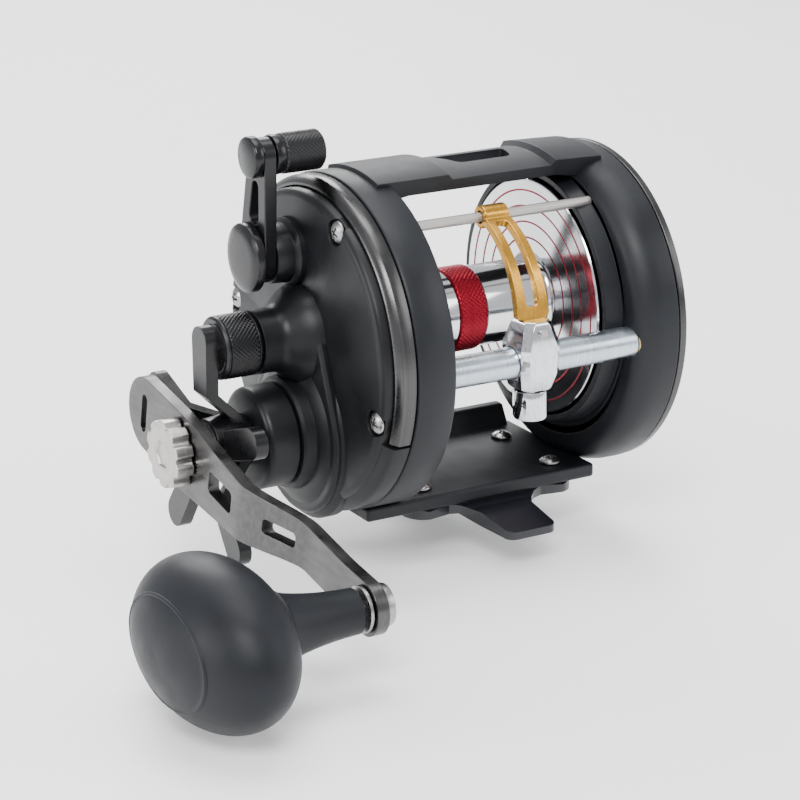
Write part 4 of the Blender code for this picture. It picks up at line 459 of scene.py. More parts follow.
def knurled(x_from, x_to, radius, centre, around, rows, depth, edge=0.5):
    """A rod with a diamond knurl between two plain chamfers."""
    steps = around * 4

    def plain_end(x):
        return [(x, *on_circle(radius - edge, 360.0 * i / steps, centre)) for i in range(steps)]

    loops = [plain_end(x_from)]
    pitch = 2 * math.pi * radius / around
    for row in range(rows + 1):
        share = row / rows
        x = x_from + (x_to - x_from) * (0.04 + 0.92 * share)
        loop = []
        for i in range(steps):
            angle = 2 * math.pi * i / steps
            one = math.cos(around * angle + 2 * math.pi * (x - x_from) / pitch)
            two = math.cos(around * angle - 2 * math.pi * (x - x_from) / pitch)
            r = radius - depth * (1.0 - max(0.0, 0.5 + 0.25 * (one + two)))
            loop.append((x, *on_circle(r, math.degrees(angle), centre)))
        loops.append(loop)
    loops.append(plain_end(x_to))
    return loft(loops)


def black(name, bm, body, replaces=(), round_mm=0.0, angle=32.0):
    return piece(name, bm, "anodised_black", body, replaces, round_mm, angle=angle)


def moulded(name, bm, replaces=(), round_mm=0.0, segments=3):
    return piece(name, bm, "moulding", "frame_body", replaces, round_mm, segments)


# Pieces.


class REEL_OT_frame(bpy.types.Operator):
    """The two rings, the thumb bar, the rear bar and the base"""

    bl_idname = "reel.frame"
    bl_label = "Frame"

    def execute(self, context):
        handle = [
            (-24.5, 33.4), (-24.5, 40.4), (-24.8, 41.0), (-25.5, 41.4), (-34.5, 41.4),
            (-35.0, 41.1), (-35.0, 38.9), (-27.5, 38.9), (-27.5, 33.4),
        ]
        plain = [
            (28.0, 33.2), (28.0, 36.0), (28.4, 37.2), (29.4, 38.5), (31.0, 39.7),
            (33.0, 40.5), (35.2, 40.85), (38.8, 40.9), (39.1, 40.6), (39.1, 38.2),
            (35.0, 38.2), (30.6, 35.8), (30.6, 33.2),
        ]
        shapes = [
            lathe(handle, RING),
            lathe([(-24.5, 30.6), (-24.5, 35.9), (-27.5, 35.9), (-27.5, 30.6)], SPOOL),
            lathe(plain, RING),
            lathe([(28.0, 30.6), (28.0, 34.4), (30.6, 34.4), (30.6, 30.6)], SPOOL),
            lathe([(23.8, 30.6), (23.8, 32.2), (28.6, 33.2), (28.6, 30.6)], SPOOL),
        ]
        piece("frame_rings", merged(*shapes), "powder_coat", "frame_body",
              ("frame",), 0.35)
        self.thumb_bar()
        self.lower_bars()
        return {"FINISHED"}

    def thumb_bar(self):
        """The curved bar on top, dished for the thumb and with a window through it."""
        raised, low = 42.3, 40.9
        profile = [
            (-29.7, raised - 2.0), (-28.9, raised), (-9.3, raised), (-8.0, low), (20.0, low),
            (21.3, raised), (34.6, raised - 0.5), (35.4, raised - 2.5), (32.4, 37.1),
            (26.8, 37.1), (22.0, 38.0), (-19.5, 38.0), (-25.4, 37.1), (-27.1, 37.1),
        ]
        front = math.degrees(math.asin((13.0 - 0.94) / raised))
        rear = math.degrees(math.asin((11.0 + 0.94) / raised))
        bar = lathe(profile, RING, 24, front + rear, 90.0 - rear)
        window = prism([(-3.5, 4.2), (16.5, 4.2), (13.9, -4.2), (-0.9, -4.2)], 26.0, 42.0, "Z")
        bmesh.ops.bevel(
            window,
            geom=[e for e in window.edges if abs(e.verts[0].co.z - e.verts[1].co.z) > 10.0],
            offset=1.4,
            segments=5,
            affect="EDGES",
            profile=0.5,
        )
        self.bar("thumb_bar", carve(bar, window), 0.5)

    def lower_bars(self):
        rear = [
            (33.26, -21.0), (34.86, -21.0), (36.46, -16.0), (36.46, -4.0), (35.46, -1.0),
            (33.26, -1.0),
        ]
        base = [(-17.5, -44.6), (23.0, -44.6), (23.0, -41.0), (-17.5, -41.0)]
        web = [(19.0, -42.0), (23.0, -42.0), (25.4, -36.0), (22.4, -36.0)]
        self.bar("rear_bar", prism(rear, -26.0, 29.5), 0.7)
        self.bar("base_plate", prism(base, -34.6, 31.5), 0.8)
        self.bar("base_web", prism(web, -26.0, 29.5), 0.6)

    def bar(self, name, shape, round_mm):
        piece(name, shape, "powder_coat", "frame_body", (), round_mm)


class REEL_OT_handle_plate(bpy.types.Operator):
    """The crank side's cover, gear housing, hub housing and bosses"""

    bl_idname = "reel.handle_plate"
    bl_label = "Handle side plate"

    def execute(self, context):
        self.cover()
        self.housing()
        self.bosses()
        return {"FINISHED"}

    def cover(self):
        shell = [
            (-43.0, 0.0), (-43.0, 36.2), (-42.85, 37.0), (-42.4, 37.7), (-41.6, 38.2),
            (-35.3, 38.2), (-35.3, 38.5), (-33.0, 38.5), (-33.0, 36.2), (-39.0, 36.0),
            (-39.0, 0.0),
        ]
        pits = [self.pit(angle) for angle in LEFT_SCREW_ANGLES]
        moulded("left_cover", carve(lathe(shell, RING), *pits), ("left_side_plate",))
        rim = [
            (-35.3, 37.2), (-35.3, 41.0), (-39.2, 41.0), (-40.0, 40.6), (-40.8, 39.4),
            (-41.6, 38.0), (-41.6, 37.2),
        ]
        moulded("left_cover_rim", lathe(rim, RING, 48, 134.0, 203.0))

    def housing(self):
        """The stepped round over the main gear, and the panel that joins it to the spool cap."""
        steps = [
            (-39.4, 0.0), (-39.4, 22.3), (-42.2, 22.3), (-42.8, 21.9), (-43.2, 21.1),
            (-44.4, 19.2), (-45.4, 17.7), (-46.0, 16.4), (-46.4, 15.0), (-46.5, 14.2),
            (-49.0, 13.9), (-49.6, 13.3), (-49.7, 0.0),
        ]
        moulded("gear_housing", lathe(steps, CRANK))
        panel = prism(hull_outline((0.0, 0.0), 12.0, CRANK, 20.6), -42.0, -45.1)
        moulded("gear_panel", panel, (), 1.1, 4)

    def bosses(self):
        boss = [
            (-42.0, 0.0), (-42.0, 12.8), (-44.4, 12.4), (-46.4, 11.4), (-48.2, 10.0),
            (-49.4, 8.8), (-50.6, 8.0), (-52.0, 7.8), (-56.5, 7.8), (-56.6, 0.0),
        ]
        moulded("spool_cap_boss", lathe(boss))
        lever = [
            (-42.0, 0.0), (-42.0, 8.6), (-44.3, 8.5), (-44.8, 8.0), (-45.2, 7.3), (-49.4, 7.0),
            (-49.7, 6.8), (-49.7, 0.0),
        ]
        moulded("lever_boss", lathe(lever, LEVER, 72))
        hub = [
            (-50.0, 8.7), (-50.0, 12.3), (-50.3, 12.6), (-56.6, 12.6), (-57.4, 12.4),
            (-58.0, 11.8), (-58.3, 10.9), (-58.4, 5.4), (-57.0, 5.4), (-57.0, 8.7),
        ]
        moulded("hub_housing", lathe(hub, CRANK, 96), ("bearing_housing",))

    def pit(self, angle):
        """Room for a screw's head in the cover."""
        centre = on_circle(LEFT_SCREW_CIRCLE, angle, RING)
        return lathe([(-41.5, 0.0), (-41.5, 3.1), (-44.0, 3.4), (-44.0, 0.0)], centre, 48)


class REEL_OT_plain_plate(bpy.types.Operator):
    """The domed cover on the side away from the crank"""

    bl_idname = "reel.plain_plate"
    bl_label = "Plain side plate"

    def execute(self, context):
        shell = [
            (43.6, 0.0), (43.58, 8.0), (43.5, 15.0), (43.2, 23.0), (42.6, 31.0), (42.1, 35.4),
            (41.8, 37.2), (41.3, 38.3), (39.4, 38.3), (39.4, 37.8), (37.1, 37.8), (37.1, 35.5),
            (40.4, 35.3), (40.4, 0.0),
        ]
        hole = [(40.9, 0.0), (40.9, 3.1), (45.0, 3.1), (45.0, 0.0)]
        pits = [
            lathe(hole, on_circle(RIGHT_SCREW_CIRCLE, angle, RING), 48)
            for angle in RIGHT_SCREW_ANGLES
        ]
        slot = prism(hull_outline((16.6, 0.0), 2.2, (20.6, 0.0), 2.2), 40.0, 45.0)
        moulded("right_cover", carve(lathe(shell, RING), slot, *pits), ("right_side_plate",))
        seat = [(36.1, 8.0), (36.1, 6.2), (39.9, 6.2), (39.9, 5.0), (41.0, 5.0), (41.0, 8.0)]
        moulded("right_bearing_seat", lathe(seat, SPOOL, 48))
        return {"FINISHED"}


class REEL_OT_trim(bpy.types.Operator):
    """The gunmetal rings on the two covers"""

    bl_idname = "reel.trim"
    bl_label = "Trim rings"

    def execute(self, context):
        left = [
            (-35.3, 38.5), (-35.3, 40.9), (-35.5, 41.0), (-38.1, 41.0), (-38.5, 40.9),
            (-39.8, 39.9), (-40.2, 39.3), (-40.2, 38.5),
        ]
        piece("left_trim", lathe(left, RING, 112, 224.0, -22.0), "ring_gunmetal", "frame_body",
              ("left_trim_ring",), 0.15)
        right = [
            (39.4, 38.6), (39.4, 40.5), (39.6, 40.7), (41.0, 40.7), (41.3, 40.5), (41.7, 40.0),
            (41.8, 39.7), (41.8, 38.6),
        ]
        piece("right_trim", lathe(right, RING), "ring_gunmetal", "frame_body",
              ("right_trim_ring",), 0.1)
        return {"FINISHED"}


class REEL_OT_screws(bpy.types.Operator):
    """The domed, cross-recessed screws of the plates and the foot"""

    bl_idname = "reel.screws"
    bl_label = "Screws"

    def execute(self, context):
        for number, angle in enumerate(LEFT_SCREW_ANGLES, 1):
            place = on_circle(LEFT_SCREW_CIRCLE, angle, RING)
            self.side(f"left_plate_screw_{number}", -41.8, -1.0, place, angle)
        for number, angle in enumerate(RIGHT_SCREW_ANGLES, 1):
            place = on_circle(RIGHT_SCREW_CIRCLE, angle, RING)
            self.side(f"right_plate_screw_{number}", 41.2, 1.0, place, angle)
        places = [
            (side * FOOT_SCREW_X + FOOT_MIDDLE, end * FOOT_SCREW_Y)
            for end in (-1, 1) for side in (-1, 1)
        ]
        for number, place in enumerate(places, 1):
            head = self.profile(-40.7, 1.0)
            shape = carve(upright(head + [(-47.2, 1.4), (-47.2, 0.0)], place),
                          *self.cross(place, -38.6, "Z", 35.0 * number))
            name = f"foot_screw_{number}"
            piece(name + "_head", shape, "screw_steel", "frame_body", (name,))
        return {"FINISHED"}

    def profile(self, under, out):
        """The domed head, as (height, radius) from its crown to its underside."""
        heights = (
            (1.5, 0.0), (1.48, 0.7), (1.3, 1.4), (0.95, 2.1), (0.5, 2.6), (0.15, 2.7),
            (0.0, 2.68), (0.0, 1.4),
        )
        return [(under + out * h, r) for h, r in heights]

    def cross(self, place, top, along, turn):
        """Two blades that cut a cross recess into a head."""
        cutters = []
        depth = math.copysign(1.4, top) if along == "X" else 1.4
        low, high = sorted((top, top - depth))
        for quarter in (0.0, 90.0):
            a, b = on_circle(1.5, turn + quarter), on_circle(1.5, turn + quarter + 180.0)
            side = on_circle(0.28, turn + quarter + 90.0)
            corners = [
                (a[0] + side[0], a[1] + side[1]), (b[0] + side[0], b[1] + side[1]),
                (b[0] - side[0], b[1] - side[1]), (a[0] - side[0], a[1] - side[1]),
            ]
            outline = [(place[0] + p, place[1] + q) for p, q in corners]
            cutters.append(prism(outline, low, high, along))
        return cutters

    def side(self, name, under, out, place, turn):
        head = self.profile(under, out)
        tip = [(under - out * 8.0, 1.4), (under - out * 8.0, 0.0)]
        top = under + out * 2.0
        shape = carve(lathe(head + tip, place, 48), *self.cross(place, top, "X", turn))
        piece(name + "_head", shape, "screw_steel", "frame_body", (name,))


class REEL_OT_spool(bpy.types.Operator):
    """The polished spool, its stripes and its knurled band"""

    bl_idname = "reel.spool"
    bl_label = "Spool"

    def execute(self, context):
        half = [
            (-27.4, 2.8), (-27.4, 6.0), (-24.9, 6.4), (-24.9, 29.3), (-24.6, 29.7),
            (-24.2, 29.8), (-23.4, 29.8), (-23.1, 29.6), (-23.0, 29.2), (-23.0, 11.6),
            (-22.8, 10.9), (-22.3, 10.4), (-21.6, 10.1), (-4.2, 10.1), (-4.1, 10.0),
            (-4.1, 8.5),
        ]
        plain = [(-x, r) for x, r in reversed(half[2:])]
        hub = [(31.0, 5.4), (31.0, 4.5), (34.9, 4.5), (34.9, 2.8)]
        piece("spool_body_turned", lathe(half + plain + hub), "polished", "spool_body",
              ("spool",))
        for number, radius in enumerate((14.6, 18.6, 22.6, 26.6), 1):
            stripes = [self.stripe(face, x, radius) for face, x in ((-23.0, -22.94), (23.0, 22.94))]
            piece(f"flange_stripe_{number}", merged(*stripes), "red", "spool_body")
        band = knurled(-3.85, 3.85, 10.75, SPOOL, 56, 34, 0.42, 0.5)
        piece("knurled_band", band, "red", "spool_body", ("arbor_band",), angle=70.0)
        return {"FINISHED"}

    def stripe(self, face, x, radius):
        """A thin raised ring on a flange's inner face."""
        outside = radius + 0.45
        return lathe([(face, radius), (x, radius), (x, outside), (face, outside)])


class REEL_OT_level_wind(bpy.types.Operator):
    """The tube, the guide rod, the carriage and the line guide"""

    bl_idname = "reel.level_wind"
    bl_label = "Level wind"

    def execute(self, context):
        tube = lathe([(-25.4, 3.2), (-25.4, 3.8), (28.6, 3.8), (28.6, 3.2)], WORM, 64)
        underside = [(-18.3, -9.0), (18.3, -9.0), (18.3, -5.0), (-18.3, -5.0)]
        slot = prism(underside, -36.5, -34.5, "Y")
        piece("level_wind_tube", carve(tube, slot), "bright_zinc", "frame_body",
              ("worm_tube",))
        rod = [(-27.1, 0.0), (-27.1, 1.1), (-26.9, 1.25), (29.0, 1.25), (29.1, 1.1), (29.1, 0.0)]
        piece("guide_rod_turned", lathe(rod, ROD, 48), "stainless", "frame_body",
              ("guide_rod",))
        self.carriage()
        self.guide()
        return {"FINISHED"}

    def carriage(self):
        """The block with chamfered corners, as levels of (height, half width, half depth)."""
        w, d, high, low = 5.5, 5.8, 6.6, -10.6
        levels = [
            (low, w - 1.8, d - 1.8), (low + 0.7, w - 1.1, d - 1.1), (-6.2, w - 0.1, d - 0.1),
            (-1.0, w, d), (0.4, w, d), (4.0, w - 1.1, d - 0.7), (high - 0.7, w - 1.7, d - 1.1),
            (high, w - 2.3, d - 1.7),
        ]
        c = 1.7
        loops = []
        for z, a, b in levels:
            corners = [
                (a, b - c), (a - c, b), (c - a, b), (-a, b - c), (-a, c - b), (c - a, -b),
                (a - c, -b), (a, c - b),
            ]
            loops.append([(x, WORM[0] + y, z) for x, y in corners])
        bore = lathe([(-7.0, 0.0), (-7.0, 4.05), (7.0, 4.05), (7.0, 0.0)], WORM, 64)
        piece("carriage_block", carve(loft(loops), bore), "chrome", "carriage_body",
              ("carriage",), 0.3)
        cap = [
            (-14.3, 0.0), (-14.3, 2.4), (-10.9, 2.4), (-10.9, 4.1), (-11.1, 4.2), (-17.4, 4.2),
            (-18.0, 3.9), (-18.3, 3.3), (-18.3, 0.0),
        ]
        piece("pawl_cap_turned", upright(cap, (0.0, WORM[0]), 64), "chrome", "carriage_body",
              ("pawl_cap",))

    def guide(self):
        """A flat loop on a curved centre line from the carriage to the guide rod."""
        outer, inner = self.guide_outlines()
        bm = bmesh.new()
        front_out, front_in, back_out, back_in = [
            [bm.verts.new((x, *self.guide_at(share, offset))) for x, share in loop]
            for offset in (1.0, -1.0) for loop in (outer, inner)
        ]
        walls = (
            (front_out, front_in), (front_in, back_in), (back_in, back_out),
            (back_out, front_out),
        )
        for i in range(len(outer)):
            j = (i + 1) % len(outer)
            for a, b in walls:
                bm.faces.new((a[i], a[j], b[j], b[i]))
        ring = [(-3.4, 1.55), (-3.4, 2.6), (-3.2, 2.8), (3.2, 2.8), (3.4, 2.6), (3.4, 1.55)]
        piece("line_guide_loop", merged(clean(bm), lathe(ring, ROD, 48)), "gold",
              "carriage_body", ("line_guide",), 0.22)

    def guide_outlines(self):
        """The loop's outside and its slot, as (x, share of the way up)."""
        low, high, slot = 4.5, 3.4, 1.7
        shares = [0.10 + 0.76 * i / 20 for i in range(21)]
        outer = [(0.0, -0.02), (low * 0.6, -0.02), (low - 0.3, 0.0), (low, 0.03)]
        outer += [(low + (high - low) * s, s) for s in shares]
        outer += [(high, 0.93), (high - 0.4, 0.975), (0.0, 0.985)]
        inner = [(0.0, 0.085), (slot * 0.5, 0.088), (slot * 0.85, 0.098), (slot, 0.118)]
        inner += [(slot, 0.118 + (s - 0.10) * 0.94) for s in shares]
        inner += [(slot * 0.9, 0.855), (slot * 0.55, 0.872), (0.0, 0.878)]
        outer += [(-x, s) for x, s in reversed(outer[1:-1])]
        inner += [(-x, s) for x, s in reversed(inner[1:-1])]
        return outer, inner

    def guide_at(self, share, offset):
        """Where a share of the way up the curve is, moved off it towards one face."""
        rise, back, start = 31.3, 18.0, 6.9 - WORM[1]
        lean = math.atan2(back, rise - start)
        half = math.radians(33.0)
        radius = math.hypot(back, rise - start) / (2 * math.sin(half))
        first = lean - half
        angle = first + 2 * half * share
        y = radius * (math.cos(first) - math.cos(angle)) - offset * math.cos(angle)
        z = start + radius * (math.sin(angle) - math.sin(first)) + offset * math.sin(angle)
        return WORM[0] + y, WORM[1] + z


class REEL_OT_crank(bpy.types.Operator):
    """The crank arm, its nut and the star wheel"""

    bl_idname = "reel.crank"
    bl_label = "Crank"

    def execute(self, context):
        piece("crank_arm", self.arm(), "arm_gunmetal", "crank", ("handle_arm",), 0.45)
        piece("crank_nut", self.nut(), "nut_steel", "crank", ("handle_nut",), 0.35)
        piece("star_drag_wheel", self.star(), "anodised_black", "star",
              ("star_wheel",), 0.5)
        self.post()
        return {"FINISHED"}

    def axes(self):
        along = Vector((0.0, math.cos(ARM_ANGLE), math.sin(ARM_ANGLE)))
        return along, Vector((0.0, -along.z, along.y))

    def arm(self):
        along, across = self.axes()
        centre = Vector((0.0, *CRANK))
        loops = []
        for t, half in self.arm_rows():
            x = -72.9 + self.arm_step(t)
            near, far = centre + along * t - across * half, centre + along * t + across * half
            inner, outer = Vector((x, 0, 0)), Vector((x - 3.0, 0, 0))
            loops.append([near + inner, far + inner, far + outer, near + outer])
        hole = [(-80.0, 0.0), (-80.0, 3.5), (-70.0, 3.5), (-70.0, 0.0)]
        return carve(
            loft(loops),
            lathe(hole, CRANK, 48),
            self.slot(),
            self.window(15.0, 26.5, 2.8, 1.2),
            self.window(37.5, 46.5, 1.9, 1.0),
        )

    def arm_rows(self):
        """The arm's outline, as (distance from the crank's axis, half width)."""
        rows = []
        for i in range(17):
            angle = math.radians(4.0 + 86.0 * i / 16)
            rows.append((-19.1 - 9.4 * math.cos(angle), 9.4 * math.sin(angle)))
        rows += [(t, self.arm_width(t)) for t in [2.4 * i for i in range(31)]]
        for i in range(17):
            angle = math.radians(90.0 - 86.0 * i / 16)
            rows.append((ARM_LENGTH + 6.3 * math.cos(angle), 6.3 * math.sin(angle)))
        return rows

    def arm_step(self, t):
        """How far the arm has stepped back towards the reel on its way to the knob."""
        share = min(max((t - 30.8) / 18.5, 0.0), 1.0)
        return 7.0 * (share * share * (3 - 2 * share) * 0.35 + share * 0.65)

    def arm_width(self, t):
        rows = ((0.0, 9.8), (30.8, 7.2), (49.3, 5.7), (66.2, 5.6), (ARM_LENGTH, 6.3))
        for (a, wide), (b, narrow) in zip(rows, rows[1:]):
            if t <= b:
                return wide + (narrow - wide) * max(t - a, 0.0) / (b - a)
        return rows[-1][1]

    def slot(self):
        """The cross slot in the arm's short end."""
        along, across = self.axes()
        middle = Vector((0.0, *CRANK)) + along * -20.0
        one, two = middle + across * -3.6, middle + across * 3.6
        return prism(hull_outline((one.y, one.z), 1.4, (two.y, two.z), 1.4, 13), -79.0, -64.0)

    def window(self, t0, t1, half, corner):
        """A rounded oblong through the arm."""
        along, across = self.axes()
        centre = Vector((0.0, *CRANK))
        outline = []
        corners = (
            (t1 - corner, half - corner, 0.0), (t0 + corner, half - corner, 90.0),
            (t0 + corner, corner - half, 180.0), (t1 - corner, corner - half, 270.0),
        )
        for t, w, start in corners:
            for i in range(6):
                dt, dw = on_circle(corner, start + 18.0 * i)
                point = centre + along * (t + dt) + across * (w + dw)
                outline.append((point.y, point.z))
        return prism(outline, -79.0, -64.0)

    def nut(self):
        """A fluted nut with a hexagon recess."""
        outline = []
        for i in range(240):
            angle = 2 * math.pi * i / 240
            wave = max(0.0, math.cos(10 * angle)) ** 0.8
            outline.append(on_circle(8.3 - 1.1 * wave, math.degrees(angle), CRANK))
        shape = prism(outline, -76.2, -80.7)
        face = lathe([(-80.2, 0.0), (-80.2, 3.4), (-81.5, 3.4), (-81.5, 0.0)], CRANK, 6)
        return carve(shape, face)

    def star(self):
        hub = [(-58.9, 3.9), (-58.9, 6.4), (-63.9, 7.0), (-68.6, 6.6), (-68.9, 6.2), (-68.9, 3.9)]
        shapes = [lathe(hub, CRANK, 64)]
        for number in range(5):
            shapes.append(self.star_arm(90.0 + 72.0 * number))
        return merged(*shapes)

    def star_arm(self, angle):
        """One arm, as rows of (distance out, x, half width)."""
        rows = [
            (5.0, -59.4, 3.4), (7.0, -60.6, 3.3), (10.2, -63.9, 3.4), (13.4, -67.1, 3.5),
            (15.0, -67.1, 3.55),
        ]
        rows += [(15.0 + 11.2 * i / 6, -67.1, 3.55 + 0.25 * i / 6) for i in range(1, 7)]
        for i in range(1, 11):
            a = math.radians(9.0 * i - 3.0)
            rows.append((26.2 + 3.8 * math.sin(a), -67.1, 3.8 * math.cos(a)))
        turn = Matrix.Rotation(math.radians(angle), 3, "X")
        middle = Vector((0.0, *CRANK))
        loops = []
        for r, x, half in rows:
            corners = [(x, r, -half), (x, r, half), (x - 3.2, r, half), (x - 3.2, r, -half)]
            loops.append([middle + turn @ Vector(corner) for corner in corners])
        return loft(loops)

    def post(self):
        post = [
            (-63.2, 0.0), (-63.2, 4.2), (-63.5, 4.8), (-64.1, 5.0), (-65.3, 5.0), (-65.6, 4.8),
            (-65.6, 2.2), (-98.0, 2.2), (-98.0, 0.0),
        ]
        washer = [
            (-69.2, 2.5), (-69.2, 5.3), (-69.3, 5.4), (-70.0, 5.4), (-70.1, 5.3), (-70.1, 2.5),
        ]
        for name, profile in (("knob_post", post), ("knob_washer", washer)):
            piece(name + "_turned", lathe(profile, KNOB, 64), "screw_steel", "crank",
                  (name,))


class REEL_OT_grip(bpy.types.Operator):
    """The soft egg-shaped knob and its plain oval inset"""

    bl_idname = "reel.grip"
    bl_label = "Crank knob"

    def execute(self, context):
        circle = [on_circle(1.0, 360.0 * i / 96) for i in range(96)]
        loops = [
            [(x, KNOB[0] + a * wide, KNOB[1] + b * tall) for a, b in circle]
            for x, wide, tall in self.neck() + self.egg()
        ]
        body = piece("crank_knob", loft(loops), "soft_rubber", "grip",
                     ("handle_knob",), angle=60.0)
        smooth = body.modifiers.new("even", "SMOOTH")
        smooth.factor = 0.5
        smooth.iterations = 6
        self.inset(circle)
        return {"FINISHED"}

    def neck(self):
        rows = []
        for i in range(9):
            share = i / 8
            radius = 5.2 + 2.6 * share * share
            rows.append((KNOB_START + (KNOB_NECK - KNOB_START) * share, radius, radius))
        return rows

    def egg(self):
        """The swelling body, with a soft shoulder where it leaves the neck."""
        rows = []
        for i in range(1, 40):
            share = i / 40
            angle = math.pi * share
            x = (KNOB_NECK + KNOB_TIP) / 2 + (KNOB_NECK - KNOB_TIP) / 2 * math.cos(angle)
            wide, tall = KNOB_WIDE * math.sin(angle), KNOB_TALL * math.sin(angle)
            if share < 0.3:
                blend = max(0.0, 1.0 - share / 0.22) ** 2
                wide = max(wide, 7.8 + 1.5 * blend)
                tall = max(tall, 7.8 + 1.2 * blend)
            rows.append((x, wide, tall))
        return rows

    def inset(self, circle):
        """A thin raised oval with a groove round it on the knob's outer face."""
        rows = (
            (1.0, -0.15), (0.995, 0.14), (0.975, 0.28), (0.955, 0.14), (0.94, -0.05),
            (0.90, 0.02), (0.7, 0.05), (0.4, 0.05), (0.05, 0.05),
        )
        loops = []
        for grow, lift in rows:
            loop = []
            for a, b in circle:
                a, b = a * 18.5 * grow, b * 12.4 * grow
                loop.append((self.face(a, b) - lift, KNOB[0] + a, KNOB[1] + b))
            loops.append(loop)
        piece("knob_oval", loft(loops), "soft_rubber", "grip", (), angle=50.0)

    def face(self, a, b):
        """Where the knob's outer face is, at a place across it."""
        inside = max(0.0, 1.0 - (a / KNOB_WIDE) ** 2 - (b / KNOB_TALL) ** 2)
        return (KNOB_NECK + KNOB_TIP) / 2 - (KNOB_NECK - KNOB_TIP) / 2 * math.sqrt(inside)


class REEL_OT_controls(bpy.types.Operator):
    """The clutch lever, its knurled knob, and the tension knob"""

    bl_idname = "reel.controls"
    bl_label = "Controls"

    def execute(self, context):
        self.lever()
        self.lever_knob()
        self.tension()
        return {"FINISHED"}

    def lever(self):
        plate = prism(hull_outline(LEVER, 6.6, LEVER_TIP, 4.4, 33), -50.0, -53.2)
        ends = [on_circle(LEVER_LENGTH * share, LEVER_ANGLE, LEVER) for share in (0.42, 0.70)]
        window = prism(hull_outline(ends[0], 2.3, ends[1], 1.5, 17), -49.0, -54.0)
        black("clutch_lever_plate", carve(plate, window), "clutch", ("clutch_lever",), 0.45)
        cap = [
            (-53.5, 0.0), (-53.5, 8.2), (-53.7, 8.4), (-55.2, 8.4), (-55.6, 8.2), (-56.0, 7.4),
            (-56.3, 6.6), (-56.45, 5.0), (-56.5, 0.0),
        ]
        black("lever_cap_turned", lathe(cap, LEVER, 96), "clutch", ("lever_cap",))

    def lever_knob(self):
        plug = [
            (-53.5, 0.0), (-53.5, 4.9), (-53.7, 5.0), (-55.2, 5.0), (-55.6, 4.8), (-55.8, 4.4),
            (-55.8, 0.0),
        ]
        stem = [(-55.0, 0.0), (-55.0, 1.8), (-49.0, 1.8), (-49.0, 0.0)]
        collar = [
            (-49.7, 0.0), (-49.7, 4.7), (-49.0, 4.9), (-47.6, 4.7), (-47.0, 4.3), (-47.0, 0.0),
        ]
        knob = merged(
            lathe(plug, LEVER_TIP, 64),
            lathe(stem, LEVER_TIP, 32),
            lathe(collar, LEVER_TIP, 64),
            knurled(-47.2, -36.7, 4.95, LEVER_TIP, 30, 40, 0.38, 0.6),
        )
        black("lever_knob_knurled", knob, "clutch", ("lever_knob",), angle=70.0)

    def tension(self):
        body = knurled(-57.5, -65.4, 7.8, SPOOL, 44, 32, 0.42, 0.5)
        front = [(-56.9, 0.0), (-56.9, 7.4), (-57.2, 7.7), (-57.7, 7.7), (-57.7, 0.0)]
        plug = [(-54.3, 0.0), (-54.3, 5.6), (-57.0, 5.6), (-57.0, 0.0)]
        knob = merged(body, lathe(front, SPOOL, 96), lathe(plug, SPOOL, 48))
        black("tension_knob_knurled", knob, "tension", ("tension_knob",), angle=70.0)
        rim = [
            (-65.2, 0.0), (-65.2, 7.5), (-65.6, 7.7), (-66.0, 7.6), (-66.4, 7.1), (-66.4, 6.0),
            (-66.0, 5.6), (-65.9, 0.0),
        ]
        black("tension_knob_rim", lathe(rim, SPOOL, 96), "tension")


class REEL_OT_foot(bpy.types.Operator):
    """The glossy foot with its lobed plate and sloping tongues"""

    bl_idname = "reel.foot"
    bl_label = "Foot"

    def execute(self, context):
        top, seat, plate = -44.9, -50.0, -47.3
        foot = prism(self.outline(), seat, top, "Z")
        cutters = self.slopes(top, seat) + self.undercuts(seat, plate) + self.holes()
        piece("foot_saddle", carve(foot, *cutters), "gloss_black", "frame_body",
              ("reel_foot",), 0.45, 3, 25.0)
        return {"FINISHED"}

    def slopes(self, top, seat):
        """What is cut off above the two tongues."""
        cutters = []
        for end in (-1, 1):
            slope = [
                (end * 15.6, top + 1.0), (end * 16.6, top - 0.2), (end * 18.4, top - 1.0),
                (end * 34.0, seat + 1.9), (end * 34.5, seat + 2.0), (end * 34.5, top + 1.0),
            ]
            cutters.append(prism(slope, -30.0, 30.0))
        return cutters

    def undercuts(self, seat, plate):
        """What is cut from under the plate on both sides of the tongues."""
        cutters = []
        for side in (-1, 1):
            left, right = sorted((FOOT_MIDDLE + side * 7.5, FOOT_MIDDLE + side * 26.0))
            block = [(left, -26.0), (right, -26.0), (right, 26.0), (left, 26.0)]
            cutters.append(prism(block, seat - 1.0, plate, "Z"))
        return cutters

    def holes(self):
        hole = [(-52.0, 0.0), (-52.0, 1.7), (-43.0, 1.7), (-43.0, 0.0)]
        return [
            upright(hole, (FOOT_MIDDLE + side * FOOT_SCREW_X, end * FOOT_SCREW_Y), 24)
            for side in (1, -1) for end in (1, -1)
        ]

    def outline(self):
        """A quarter with rounded corners, mirrored both ways."""
        quarter = [(24.0, 0.0)] + arc((18.5, 11.5), 5.5, 0.0, 80.0, 9) + [(13.5, 15.9)]
        quarter += [(10.8, 16.9), (8.9, 18.6), (7.5, 21.0), (7.0, 30.0)]
        quarter += arc((4.6, 31.1), 2.4, 5.0, 90.0, 7)
        right = quarter + [(x, -y) for x, y in reversed(quarter[1:])]
        left = [(-x, y) for x, y in right]
        order = sorted(set(right + left), key=lambda p: math.atan2(p[1], p[0]))
        return [(x + FOOT_MIDDLE, y) for x, y in order]


